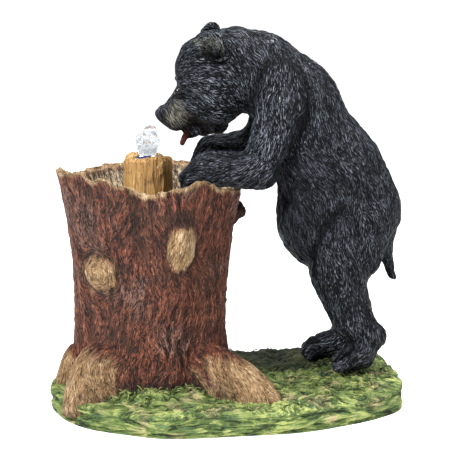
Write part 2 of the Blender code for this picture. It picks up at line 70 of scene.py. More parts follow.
# how deep the blades, tufts and lumps are carved, and how far the side is cut back to make room
BLADE_RELIEF = 0.0014
TUFT_RELIEF = 0.0019
LUMP_RELIEF = 0.0012
SIDE_CUT = 0.0034
SKIN_INSET = 0.0015
DARK_GREEN = (0.022, 0.036, 0.012)
GRASS_GREEN = (0.125, 0.200, 0.045)
YELLOW_GREEN = (0.540, 0.600, 0.190)
BLUE_GREEN = (0.100, 0.220, 0.120)
STRAW = (0.640, 0.530, 0.280)
OLIVE_BROWN = (0.150, 0.120, 0.058)


def clay_noise(points, seed=0):
    """Smooth noise from -1 to 1: a random value at each whole-number corner, eased between corners."""
    cell = np.floor(points).astype(np.int64)
    ease = points - cell
    ease = ease * ease * (3.0 - 2.0 * ease)
    total = np.zeros(len(points))
    for corner in np.ndindex(2, 2, 2):
        i, j, k = (cell + corner).T
        mixed = (i * 73856093) ^ (j * 19349663) ^ (k * 83492791) ^ (seed * 9176263)
        mixed = (mixed ^ (mixed >> 13)) * 1274126177
        value = ((mixed ^ (mixed >> 16)) & 0xFFFF) / 32767.5 - 1.0
        total += value * np.prod(np.where(corner, ease, 1.0 - ease), axis=1)
    return total


def brushed(points, flow, width, length, seed=0):
    """Streaks about one width wide: the noise at each point averaged along the flow for one length."""
    total = np.zeros(len(points))
    for step in np.linspace(-0.5, 0.5, 9):
        total += clay_noise((points + flow * (step * length)) / width, seed)
    return np.clip(total * 0.36, -1.0, 1.0)


def unit_length(vectors):
    """Each vector divided by its own length."""
    return vectors / np.maximum(np.linalg.norm(vectors, axis=-1, keepdims=True), 1e-12)


def bump(offset, width):
    """1 at the middle, falling smoothly to nothing at about twice the width."""
    return np.exp(-(offset / width) ** 2)


def ramp_between(value, low, high):
    """0 below low, 1 above high, eased between."""
    t = np.clip((value - low) / (high - low), 0.0, 1.0)
    return t * t * (3.0 - 2.0 * t)


def smooth_loop(points, count):
    """A closed Catmull-Rom curve through the points, read at even steps."""
    points = np.array(points, float)
    step = np.arange(count) * len(points) / count
    i = step.astype(int)
    t = (step - i)[:, None]
    p0, p1, p2, p3 = (points[(i + k) % len(points)] for k in (-1, 0, 1, 2))
    return 0.5 * (2 * p1 + (p2 - p0) * t + (2 * p0 - 5 * p1 + 4 * p2 - p3) * t ** 2
                  + (3 * p1 - p0 - 3 * p2 + p3) * t ** 3)


def grid_normals(rings):
    """Outward normals of a grid of rings: the slope round the ring crossed with the slope up the rings."""
    around = np.roll(rings, -1, 1) - np.roll(rings, 1, 1)
    along = np.gradient(rings, axis=0)
    return unit_length(np.cross(around, along))


def closed_skin(name, rings, material, marks):
    """A closed mesh through rings of points, from the bottom pole to the top pole.

    Each ring joins the next by quads, and the first and last are closed by a fan to their middle.
    marks are the numbers or directions, one per ring point, that the material reads."""
    rows, sides = rings.shape[:2]
    index = np.arange(rows * sides).reshape(rows, sides)
    after = np.roll(index, -1, 1)
    quads = np.stack([index[:-1], after[:-1], after[1:], index[1:]], -1).reshape(-1, 4)
    low, high = rows * sides, rows * sides + 1
    fans = np.concatenate([np.stack([after[0], index[0], np.full(sides, low)], -1),
                           np.stack([index[-1], after[-1], np.full(sides, high)], -1)])
    points = np.concatenate([rings.reshape(-1, 3), rings[:1].mean(1), rings[-1:].mean(1)])
    mesh = bpy.data.meshes.new(name)
    mesh.from_pydata(points.tolist(), [], quads.tolist() + fans.tolist())
    for title, values in marks.items():
        flat = values.reshape(rows * sides, -1)
        flat = np.concatenate([flat, values[:1].mean(1).reshape(1, -1), values[-1:].mean(1).reshape(1, -1)])
        mark(mesh, title, flat)
    mesh.shade_smooth()
    mesh.materials.append(material)
    piece = bpy.data.objects.new(name, mesh)
    bpy.context.scene.collection.objects.link(piece)
    return piece


def mark(mesh, title, values):
    """Write one number or one direction per vertex, for the material to read by its title."""
    number = values.shape[1] == 1
    layer = mesh.attributes.new(title, "FLOAT" if number else "FLOAT_VECTOR", "POINT")
    layer.data.foreach_set("value" if number else "vector", values.astype(np.float32).ravel())


def node(tree, kind, inputs=None, **settings):
    """One shader node. Settings are its properties, and inputs gives each socket a link or a value."""
    made = tree.nodes.new("ShaderNode" + kind)
    for key, value in settings.items():
        setattr(made, key, value)
    for key, value in (inputs or {}).items():
        socket = made.inputs[key]
        if isinstance(value, bpy.types.NodeSocket):
            tree.links.new(value, socket)
        else:
            socket.default_value = (*value, 1.0) if socket.type == "RGBA" else value
    return made


def painted(tree, under, over, amount, blend="MIX"):
    """One colour brushed over another where the amount, from 0 to 1, says."""
    mix = node(tree, "Mix", {0: amount, 6: under, 7: over}, data_type="RGBA", blend_type=blend)
    return mix.outputs[2]


def sums(tree, operation, *values):
    """A chain of one arithmetic operation over sockets and numbers."""
    result = values[0]
    for value in values[1:]:
        result = node(tree, "Math", {0: result, 1: value}, operation=operation).outputs[0]
    return result


def weighted(tree, *pairs):
    """Each value times its share, all added up."""
    return sums(tree, "ADD", *(sums(tree, "MULTIPLY", value, share) for value, share in pairs))


def between(tree, value, low, high, bottom=0.0, top=1.0):
    """The value mapped from low..high onto bottom..top, eased and held at both ends."""
    made = node(tree, "MapRange", {"Value": value, "From Min": low, "From Max": high, "To Min": bottom,
                                   "To Max": top}, interpolation_type="SMOOTHSTEP")
    return made.outputs["Result"]


def read_mark(tree, title, vector=False):
    """The number or direction that the mesh carries under this title."""
    made = node(tree, "Attribute", attribute_name=title)
    return made.outputs["Vector" if vector else "Fac"]


def new_group(name, inputs, output):
    """An empty node group with named inputs and one named output, each with its kind of socket."""
    group = bpy.data.node_groups.new(name, "ShaderNodeTree")
    for title, kind in inputs:
        group.interface.new_socket(title, in_out="INPUT", socket_type="NodeSocket" + kind)
    title, kind = output
    group.interface.new_socket(title, in_out="OUTPUT", socket_type="NodeSocket" + kind)
    given = group.nodes.new("NodeGroupInput").outputs
    return group, given, group.nodes.new("NodeGroupOutput").inputs[title]


def blotch_group():
    """A node group of blotches: one noise texture, whose scale is 1 over the blotches' size."""
    inputs = (("Place", "Vector"), ("Size", "Float"), ("Detail", "Float"), ("Roughness", "Float"),
              ("Seed", "Float"))
    group, given, out = new_group("blotches", inputs, ("Blotches", "Float"))
    scale = sums(group, "DIVIDE", 1.0, given["Size"])
    read = node(group, "TexNoise", {"Vector": given["Place"], "W": given["Seed"], "Scale": scale,
                                    "Detail": given["Detail"], "Roughness": given["Roughness"]},
                noise_dimensions="4D")
    group.links.new(read.outputs["Fac"], out)
    return group


def brush_group():
    """A node group of fine brush strokes: noise read at seven places along the flow, and averaged."""
    inputs = (("Place", "Vector"), ("Flow", "Vector"), ("Width", "Float"), ("Length", "Float"),
              ("Seed", "Float"))
    group, given, out = new_group("brush strokes", inputs, ("Strokes", "Float"))
    scale = sums(group, "DIVIDE", 1.0, given["Width"])
    total = 0.0
    for step in np.linspace(-0.5, 0.5, 7):
        reach = sums(group, "MULTIPLY", given["Length"], float(step))
        shift = node(group, "VectorMath", {0: given["Flow"], "Scale": reach}, operation="SCALE").outputs[0]
        spot = node(group, "VectorMath", {0: given["Place"], 1: shift}, operation="ADD").outputs[0]
        read = node(group, "TexNoise", {"Vector": spot, "W": given["Seed"], "Scale": scale, "Detail": 1.0},
                    noise_dimensions="4D")
        total = sums(group, "ADD", total, read.outputs["Fac"])
    # seven readings of 0.5 each make 3.5, and the average is stretched back to 0..1
    stretched = node(group, "MapRange", {"Value": total, "From Min": 2.85, "From Max": 4.15})
    group.links.new(stretched.outputs["Result"], out)
    return group


def dry_brush_group():
    """A node group that brushes one colour over another, more and more as the height goes from..to."""
    inputs = (("Under", "Color"), ("Over", "Color"), ("Height", "Float"), ("From", "Float"), ("To", "Float"),
              ("Most", "Float"))
    group, given, out = new_group("dry brush", inputs, ("Colour", "Color"))
    amount = between(group, given["Height"], given["From"], given["To"], 0.0, given["Most"])
    group.links.new(painted(group, given["Under"], given["Over"], amount), out)
    return group


def shade_group():
    """A node group of painted shade: it darkens a colour in hollows, down to its darkest share where the
    hollow mark is 1.
    """
    inputs = (("Colour", "Color"), ("Hollow", "Float"), ("Darkest", "Float"))
    group, given, out = new_group("shade in hollows", inputs, ("Colour", "Color"))
    shade = between(group, given["Hollow"], 0.0, 1.0, 1.0, given["Darkest"])
    grey = node(group, "CombineColor", {"Red": shade, "Green": shade, "Blue": shade}).outputs[0]
    group.links.new(painted(group, given["Colour"], grey, 1.0, "MULTIPLY"), out)
    return group


BRUSH = brush_group()
BLOTCHES = blotch_group()
DRY_BRUSH = dry_brush_group()
SHADE = shade_group()


def strokes(tree, width, length, seed=0.0):
    """Fine brush strokes along the piece's own flow, from 0 to 1."""
    place = node(tree, "TexCoord").outputs["Object"]
    given = {"Place": place, "Flow": read_mark(tree, "flow", vector=True), "Width": width,
             "Length": length, "Seed": seed}
    return node(tree, "Group", given, node_tree=BRUSH).outputs["Strokes"]


def speckle(tree, size, detail=2.0, roughness=0.5, seed=0.0):
    """Blotches of about one size, from 0 to 1, in the piece's own space."""
    place = node(tree, "TexCoord").outputs["Object"]
    given = {"Place": place, "Size": size, "Detail": detail, "Roughness": roughness, "Seed": seed}
    return node(tree, "Group", given, node_tree=BLOTCHES).outputs["Blotches"]


def dry_brushed(tree, under, over, height, low, high, most=1.0):
    """One colour brushed over another where the height is above low, and most of all above high."""
    given = {"Under": under, "Over": over, "Height": height, "From": low, "To": high, "Most": most}
    return node(tree, "Group", given, node_tree=DRY_BRUSH).outputs["Colour"]


def shaded(tree, colour, darkest):
    """The colour darkened by painted shade where the mesh carries the mark hollow."""
    given = {"Colour": colour, "Hollow": read_mark(tree, "hollow"), "Darkest": darkest}
    return node(tree, "Group", given, node_tree=SHADE).outputs["Colour"]


def new_finish(name):
    """An empty painted finish: its node tree and its Principled shader."""
    material = bpy.data.materials.new(name)
    material.use_nodes = True
    tree = material.node_tree
    return material, tree, tree.nodes["Principled BSDF"]


def coat(tree, shader, colour, roughness, height, depth):
    """Join a colour, a roughness and a carved height, in metres deep, to the shader."""
    tree.links.new(colour, shader.inputs["Base Color"])
    tree.links.new(roughness, shader.inputs["Roughness"])
    relief = node(tree, "Bump", {"Height": height, "Distance": depth, "Strength": 1.0})
    tree.links.new(relief.outputs["Normal"], shader.inputs["Normal"])


def turf_finish():
    """Greens and straw brushed over dark green, with painted shade darkening the hollows and the ground by
    the bear.
    """
    material, tree, shader = new_finish("turf_paint")
    blades = strokes(tree, 0.0021, 0.011)
    broad = strokes(tree, 0.0050, 0.020, 3.0)
    high = weighted(tree, (blades, 0.50), (read_mark(tree, "ridge"), 0.55))
    patch = speckle(tree, 0.060)
    straw = speckle(tree, 0.040, seed=5.0)
    base = dry_brushed(tree, DARK_GREEN, GRASS_GREEN, high, 0.22, 0.50)
    base = dry_brushed(tree, base, OLIVE_BROWN, straw, 0.56, 0.68, 0.55)
    base = dry_brushed(tree, base, BLUE_GREEN, broad, 0.60, 0.90, 0.50)
    bright = dry_brushed(tree, YELLOW_GREEN, STRAW, straw, 0.47, 0.62)
    reach = between(tree, patch, 0.34, 0.60, 0.35, 1.0)
    colour = painted(tree, base, bright, sums(tree, "MULTIPLY", between(tree, high, 0.48, 0.84), reach))
    roughness = between(tree, blades, 0.2, 0.9, 0.80, 0.50)
    height = weighted(tree, (blades, 1.0), (broad, 0.6))
    coat(tree, shader, shaded(tree, colour, 0.14), roughness, height, 0.0016)
    return material


def turf_height(x, y):
    """The edge's height, plus a bell round the trunk's foot, a bell under the feet and two crossed waves."""
    trunk = np.hypot(x - STUMP_X, y - STUMP_Y) - WAIST_RADIUS
    lap = TURF_LAP * bump(np.maximum(trunk, 0.0), LAP_WIDTH)
    stance = MOUND_RISE * bump(x - BEAR_X + MOUND_AHEAD, MOUND_WIDTH) * bump(y - BEAR_Y, MOUND_WIDTH)
    u, v = x / BASE_LENGTH, y / BASE_LENGTH
    ripple = RIPPLE * (np.sin(17.9 * u + 11.0 * v) + 0.75 * np.sin(14.2 * u - 22.6 * v + 1.2))
    return TURF_EDGE + lap + stance + ripple


def shaded_ground(x, y):
    """1 in the shaded ground between the trunk and the bear, behind the middle, and 0 away from it."""
    return bump(x - 0.080, 0.095) * ramp_between(y, -0.005, 0.055)


def turf_base():
    """The plinth's skin: the outline drawn in and up round the side, then in over the top to its middle."""
    sides = 640
    finer = 2
    outline = smooth_loop(TURF_OUTLINE, sides) * (BASE_LENGTH / 2 - SKIN_INSET, BASE_DEPTH / 2 - SKIN_INSET)
    inward = -unit_length(outline)
    rings = []
    for share in (0.5, 0.97):
        rings.append(np.c_[outline * share, np.zeros(sides)])
    insets = np.array(((0.0, 0.30), (0.22, 0.0), (0.60, 0.0), (0.84, 0.10), (0.96, 0.42), (1.0, 1.3)))
    for up in np.linspace(0.0, 1.0, 15 * finer):
        inset = np.interp(up, *insets.T) * TURF_ROUND
        edge = outline + inward * inset
        rings.append(np.c_[edge, up * turf_height(*edge.T)])
    top_edge = rings[-1][:, :2]
    for share in np.linspace(1.0, 0.02, 48 * finer)[1:]:
        edge = top_edge * share
        rings.append(np.c_[edge, turf_height(*edge.T)])
    rings = np.array(rings)
    normals = grid_normals(rings)
    flat = rings.reshape(-1, 3)
    on_top = ramp_between(normals[..., 2], 0.35, 0.85).ravel()
    # on top the grass lies every way, and round the side it lies along the edge
    turn = 3.6 * clay_noise(flat / 0.045, 1) + 1.6 * clay_noise(flat / 0.018, 2) + 0.3
    lying = np.stack([np.cos(turn), np.sin(turn), np.zeros_like(turn)], -1)
    around = unit_length(np.roll(rings, -1, 1) - np.roll(rings, 1, 1)).reshape(-1, 3)
    around = around + 0.30 * clay_noise(flat / 0.02, 3)[:, None] * np.array((0.0, 0.0, 1.0))
    flow = unit_length(lying * on_top[:, None] + around * (1.0 - on_top[:, None]))
    fine = brushed(flat, flow, 0.0034, 0.014, 4)
    tufts = brushed(flat, flow, 0.0070, 0.026, 5)
    lumps = clay_noise(flat / 0.022, 6)
    relief = BLADE_RELIEF * fine + TUFT_RELIEF * tufts + LUMP_RELIEF * lumps * on_top
    relief = relief - SIDE_CUT * (1.0 - on_top)
    relief[flat[:, 2] < SKIN_INSET] = 0.0
    place = flat + normals.reshape(-1, 3) * relief[:, None]
    place[:, 2] = np.maximum(place[:, 2], 0.0)
    ridge = np.clip(0.5 + 0.36 * fine + 0.36 * tufts + 0.10 * lumps, 0.0, 1.0)
    # painted shade: dark at the trunk's foot, a painted shadow under the bear, and painted shade in the low
    # ground between them
    trunk = np.hypot(flat[:, 0] - STUMP_X, flat[:, 1] - STUMP_Y) - WAIST_RADIUS
    low = shaded_ground(*flat[:, :2].T)
    feet = bump(flat[:, 0] - BEAR_X + 0.005, 0.055) * bump(flat[:, 1] - BEAR_Y + 0.010, 0.060)
    hollow = np.maximum(np.maximum(bump(trunk - 0.004, 0.018), 1.3 * low), 0.75 * feet)
    hollow = np.clip(hollow - 0.25 * ridge * (1.0 - low), 0.0, 1.0)
    shape = rings.shape[:2]
    marks = {"flow": flow.reshape(*shape, 3), "ridge": ridge.reshape(shape), "hollow": hollow.reshape(shape)}
    piece = closed_skin("turf", place.reshape(rings.shape), turf_finish(), marks)
    join_blades(piece)
    return piece


def join_blades(piece):
    """Single blades of grass: each a three-sided spike of four rings that leaves the turf and bends over.

    They stand thickest at the trunk's foot, where they lean up against it, and thin out to the edge."""
    count = 1500
    seeds = np.random.default_rng(7)
    turn = seeds.uniform(-np.pi, np.pi, count)
    at_trunk = seeds.random(count) < 0.26
    reach = np.where(at_trunk, WAIST_RADIUS + FOOT_SPREAD + seeds.uniform(0.0, 0.026, count), 0.0)
    root = np.c_[STUMP_X + reach * np.cos(turn), STUMP_Y + reach * np.sin(turn)]
    spread = np.sqrt(seeds.uniform(0.0, 1.0, count)) * 0.97
    outline = smooth_loop(TURF_OUTLINE, 720) * (BASE_LENGTH / 2 - 0.010, BASE_DEPTH / 2 - 0.010)
    root[~at_trunk] = (outline[seeds.integers(0, 720, count)] * spread[:, None])[~at_trunk]
    inside = np.hypot(*(root / (BASE_LENGTH / 2 - 0.012, BASE_DEPTH / 2 - 0.012)).T) < 0.97
    clear = np.hypot(root[:, 0] - STUMP_X, root[:, 1] - STUMP_Y) > WAIST_RADIUS + 0.004
    keep = inside & clear
    root, turn, at_trunk = root[keep], turn[keep], at_trunk[keep]
    count = len(root)
    to_trunk = turn + np.pi + seeds.normal(0.0, 1.1, count)
    lean = np.where(at_trunk, to_trunk, seeds.uniform(-np.pi, np.pi, count))
    long = seeds.uniform(0.009, 0.018, count)
    rise = np.where(at_trunk, seeds.uniform(0.15, 0.55, count), seeds.uniform(0.10, 0.30, count))
    ahead = np.c_[np.cos(lean), np.sin(lean), np.zeros(count)]
    side = np.c_[-np.sin(lean), np.cos(lean), np.zeros(count)]
    start = np.c_[root, turf_height(*root.T) - 0.002]
    rings = []
    for step, wide in ((0.0, 1.0), (0.4, 0.95), (0.75, 0.65), (0.97, 0.15)):
        up = rise * np.sin(step * 2.2) + 0.10
        middle = start + ahead * (long * step)[:, None] + np.c_[np.zeros((count, 2)), long * up * (step > 0)]
        half = 0.0012 * wide
        rings.append(np.stack([middle - side * half, middle + side * half,
                               middle + np.array((0.0, 0.0, 1.1)) * half], 1))
    points = np.stack(rings, 1).reshape(-1, 3)
    base = (np.arange(count) * 12)[:, None]
    faces = [base + (0, 2, 1), base + (9, 10, 11)]
    for ring in (0, 3, 6):
        for a, b in ((0, 1), (1, 2), (2, 0)):
            faces.append(base + (ring + a, ring + b, ring + 3 + b))
            faces.append(base + (ring + a, ring + 3 + b, ring + 3 + a))
    mesh = piece.data
    extra = bpy.data.meshes.new("blades")
    extra.from_pydata(points.tolist(), [], np.concatenate(faces).tolist())
    hue = np.repeat(seeds.uniform(0.35, 1.0, count), 12)
    mark(extra, "ridge", hue[:, None])
    # painted shade: each blade is darker at its foot, and darker still in the shaded ground between the trunk
    # and the bear
    own_shade = np.tile(np.repeat((0.7, 0.3, 0.0, 0.0), 3), count)
    dark = np.maximum(own_shade, np.repeat(shaded_ground(*root.T), 12))
    mark(extra, "hollow", dark[:, None])
    mark(extra, "flow", np.repeat(ahead, 12, axis=0))
    extra.shade_smooth()
    extra.materials.append(mesh.materials[0])
    blades = bpy.data.objects.new("blades", extra)
    bpy.context.scene.collection.objects.link(blades)
    with bpy.context.temp_override(active_object=piece, selected_editable_objects=[piece, blades]):
        bpy.ops.object.join()


turf = turf_base()
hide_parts("turf_base")
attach(turf, "root")

# The tree stump: the fountain's basin, cast in resin as a hollow trunk with fibrous bark, sawn knots
# and roots that grip the turf. It is painted red-brown, dry-brushed pink and grey, with ochre where
# the wood is bare: the torn rim, the knots and the roots.
WAIST_HEIGHT = 0.135
RIM_HEIGHT = 0.338
RIM_FLARE = 0.026
RIM_LEAN = 0.005
FOOT_FLARE = 0.014
STUMP_WALL = 0.011
BASIN_DEPTH = 0.135
POCKET_FLOOR = 0.010
# angle round the stump, height above or below the rim's mean. -90 is the front
RIM_WAVES = (
    (-180, 0.009), (-158, 0.012), (-143, 0.016), (-131, 0.018), (-124, 0.009), (-116, 0.014),
    (-104, 0.003), (-88, -0.008), (-70, 0.000), (-52, 0.008), (-35, -0.008), (-12, -0.018),
    (12, -0.010), (33, 0.000), (60, 0.001), (80, 0.003), (112, -0.001), (150, -0.006),
)
# angle, reach beyond the trunk, height up the trunk, half width in degrees
ROOTS = (
    (-38, 0.132, 0.057, 13),
    (-126, 0.068, 0.066, 18),
    (-158, 0.028, 0.050, 11),
    (66, 0.030, 0.048, 17),
    (146, 0.026, 0.052, 18),
)
# angle, height, half width along the bark, half height, how far it stands out
KNOTS = (
    (-124, 0.208, 0.026, 0.024, 0.015),
    (-65, 0.248, 0.022, 0.029, 0.014),
    (20, 0.273, 0.014, 0.018, 0.026),
    (104, 0.180, 0.022, 0.024, 0.012),
)
BARK_DARK = (0.018, 0.008, 0.006)
BARK_RED = (0.238, 0.066, 0.033)
BARK_PINK = (0.600, 0.250, 0.140)
BARK_GREY = (0.220, 0.160, 0.135)
WOOD_OCHRE = (0.450, 0.265, 0.115)
WOOD_PALE = (0.900, 0.700, 0.440)
WOOD_BROWN = (0.090, 0.046, 0.024)
BARK_BROWN = (0.085, 0.038, 0.022)
BASIN_BROWN = (0.105, 0.070, 0.042)
BASIN_TAN = (0.950, 0.760, 0.520)
BASIN_DAMP = (0.070, 0.060, 0.045)
# how deep the fibres, plates, folds and cracks are carved, and how far bark and roots are cut back
FIBRE_RELIEF = 0.0009
PLATE_RELIEF = 0.0011
FOLD_RELIEF = 0.0018
CRACK_DEPTH = 0.0016
BARK_CUT = 0.0012
ROOT_CUT = 0.0033
KNOT_GROOVE = 0.0020
KNOT_CURL = 0.0013


def turn_offset(angle, middle):
    """Angle from a middle, in degrees, the short way round."""
    return (angle - middle + 180.0) % 360.0 - 180.0


def rim_height(angle):
    """The torn rim's height: a periodic curve through its horns and notches."""
    knots, lifts = np.array(RIM_WAVES, float).T
    knots = np.r_[knots - 360, knots, knots + 360]
    lifts = np.tile(lifts, 3)
    i = np.searchsorted(knots, angle, side="right") - 1
    t = (angle - knots[i]) / (knots[i + 1] - knots[i])
    return RIM_HEIGHT + lifts[i] + (lifts[i + 1] - lifts[i]) * t * t * (3 - 2 * t)


def trunk_radius(angle, height):
    """Waisted trunk: flares to the rim and to the foot, with soft folds and a valley at the notch."""
    turn = np.radians(angle)
    above = np.maximum(height - WAIST_HEIGHT, 0.0) / (RIM_HEIGHT - WAIST_HEIGHT)
    below = np.maximum(WAIST_HEIGHT - height, 0.0) / WAIST_HEIGHT
    folds = 0.0022 * np.cos(5 * turn + 0.6) + 0.0018 * np.cos(9 * turn - 1.1)
    valley = 0.007 * bump(turn_offset(angle, -100), 13) * np.minimum(above, 1.0)
    lean = RIM_LEAN * np.cos(turn) * (above - 0.5 * below - 0.25)
    return WAIST_RADIUS + RIM_FLARE * above ** 2 + FOOT_FLARE * below ** 2 + folds - valley + lean


def knot_ring(angle, height, knot):
    """How far out a place is from a knot's middle, as a share of the knot's size, and its bearing."""
    middle, level, wide, tall, _ = knot
    across = np.radians(turn_offset(angle, middle)) * (WAIST_RADIUS + 0.01) / wide
    up = (height - level) / tall
    return np.hypot(across, up), np.arctan2(up, across)


def knot_relief(angle, height):
    """How far the knots stand out: a bell over each, as high as the knot's last number."""
    relief = np.zeros_like(angle)
    for knot in KNOTS:
        out, _ = knot_ring(angle, height, knot)
        relief = relief + knot[4] * np.exp(-out ** 2.5 * 0.8)
    return relief


def root_reach(angle):
    """Reach beyond the trunk, height up the trunk and how much of a root there is, at each angle."""
    reach = np.full_like(angle, 0.005)
    rise = np.full_like(angle, 0.040)
    amount = np.zeros_like(angle)
    for middle, length, height, width in ROOTS:
        share = np.exp(-np.abs(turn_offset(angle, middle) / width) ** 2.6)
        reach = np.maximum(reach, 0.004 + length * share ** 1.3)
        rise = np.maximum(rise, 0.040 + (height - 0.040 + 0.012) * share)
        amount = np.maximum(amount, share)
    return reach, rise, amount


def stump_rings(sides, finer):
    """Radius and height rings, over the roots, up the trunk, over the lip and down to the basin's floor,
    with how far up each ring is: below 0 on the roots, 0 to 1 on the trunk, above 1 inside."""
    angle = -180.0 + 360.0 * np.arange(sides) / sides
    reach, rise, amount = root_reach(angle)
    drape = 0.6 * bump(turn_offset(angle, ROOTS[1][0]), ROOTS[1][3])
    top = TURF_EDGE + rise
    joint = trunk_radius(angle, top)
    rows = []
    leans = np.r_[0.0, np.linspace(0.0, 82.0, 22 * finer)]
    for n, lean in enumerate(leans):
        turn = np.radians(lean)
        out = np.cos(turn) ** (1.8 - 0.65 * amount)
        up = np.sin(turn) ** 1.25
        level = (TURF_EDGE - POCKET_FLOOR - 0.004) * (1.0 - drape) * bool(n)
        height = POCKET_FLOOR + level + (top - POCKET_FLOOR - level) * up
        rows.append((joint + reach * out, height, lean / 82.0 - 1.0))
    rim = rim_height(angle)
    rim = rim + 0.0012 * np.sin(37 * np.radians(angle) + 1.0) * np.sin(11 * np.radians(angle))
    for share in np.linspace(0.0, 1.0, 42 * finer):
        height = top + (rim - 0.0035 - top) * share
        rows.append((trunk_radius(angle, height) + knot_relief(angle, height), height, share))
    # the lip is a half round as thick as the wall
    half = 0.45 * STUMP_WALL
    for turn in np.radians(np.linspace(25.0, 155.0, 4 * finer)):
        middle = trunk_radius(angle, rim) - half
        rows.append((middle + half * np.cos(turn), rim - 0.0035 + 0.0035 * np.sin(turn), 1.0))
    floor = RIM_HEIGHT - BASIN_DEPTH
    for share in np.linspace(0.02, 1.0, 16 * finer):
        wall = np.interp(share, (0.0, 0.15, 0.7, 0.88, 0.96, 1.0), (0.9, 1.0, 1.12, 1.2, 1.45, 1.9))
        height = rim - 0.0035 + (floor - rim + 0.0035) * share
        rows.append((trunk_radius(angle, height) - wall * STUMP_WALL, height, 1.0 + share))
    for inner in (0.75, 0.5, 0.25):
        rows.append((inner * rows[-1][0] / (inner + 0.25), np.full_like(angle, floor), 2.0))
    radius = np.array([row[0] for row in rows])
    height = np.array([np.broadcast_to(row[1], angle.shape) for row in rows])
    climb = np.array([np.broadcast_to(row[2], angle.shape) for row in rows])
    return angle, radius, height, climb, amount


def bark_finish():
    """Red-brown bark brushed pink and blotched grey, with ochre bare wood, a tan basin and painted shade in
    the hollows.
    """
    material, tree, shader = new_finish("bark_paint")
    fibre = strokes(tree, 0.0015, 0.0042)
    plate = strokes(tree, 0.0038, 0.012, 2.0)
    split = strokes(tree, 0.0024, 0.0055, 6.0)
    high = weighted(tree, (fibre, 0.62), (read_mark(tree, "ridge"), 0.42))
    bark = dry_brushed(tree, BARK_DARK, BARK_RED, high, 0.24, 0.60)
    grey = between(tree, speckle(tree, 0.075, 3.0, 0.55, 3.0), 0.50, 0.64, 0.0, 0.8)
    bark = painted(tree, bark, BARK_GREY, sums(tree, "MULTIPLY", grey, between(tree, high, 0.30, 0.7)))
    bark = dry_brushed(tree, bark, BARK_BROWN, speckle(tree, 0.045, 3.0, 0.55, 8.0), 0.48, 0.64, 0.55)
    on_plates = between(tree, plate, 0.2, 0.8, 0.25, 0.90)
    bark = painted(tree, bark, BARK_PINK, sums(tree, "MULTIPLY", between(tree, high, 0.58, 0.88), on_plates))
    bark = dry_brushed(tree, bark, BARK_DARK, split, 0.40, 0.12, 0.92)
    bare = dry_brushed(tree, WOOD_BROWN, WOOD_OCHRE, high, 0.18, 0.50)
    bare = dry_brushed(tree, bare, WOOD_PALE, high, 0.50, 0.95, 0.90)
    colour = painted(tree, bark, bare, read_mark(tree, "wood"))
    inner = dry_brushed(tree, BASIN_BROWN, BASIN_TAN, high, 0.26, 0.74)
    inner = dry_brushed(tree, inner, BASIN_DAMP, speckle(tree, 0.030, 3.0), 0.52, 0.70, 0.6)
    colour = painted(tree, colour, inner, read_mark(tree, "inside"))
    roughness = between(tree, high, 0.2, 0.9, 0.75, 0.45)
    height = sums(tree, "ADD", weighted(tree, (fibre, 1.0), (plate, 0.8)), between(tree, split, 0.05, 0.35))
    coat(tree, shader, shaded(tree, colour, 0.30), roughness, height, 0.0022)
    return material


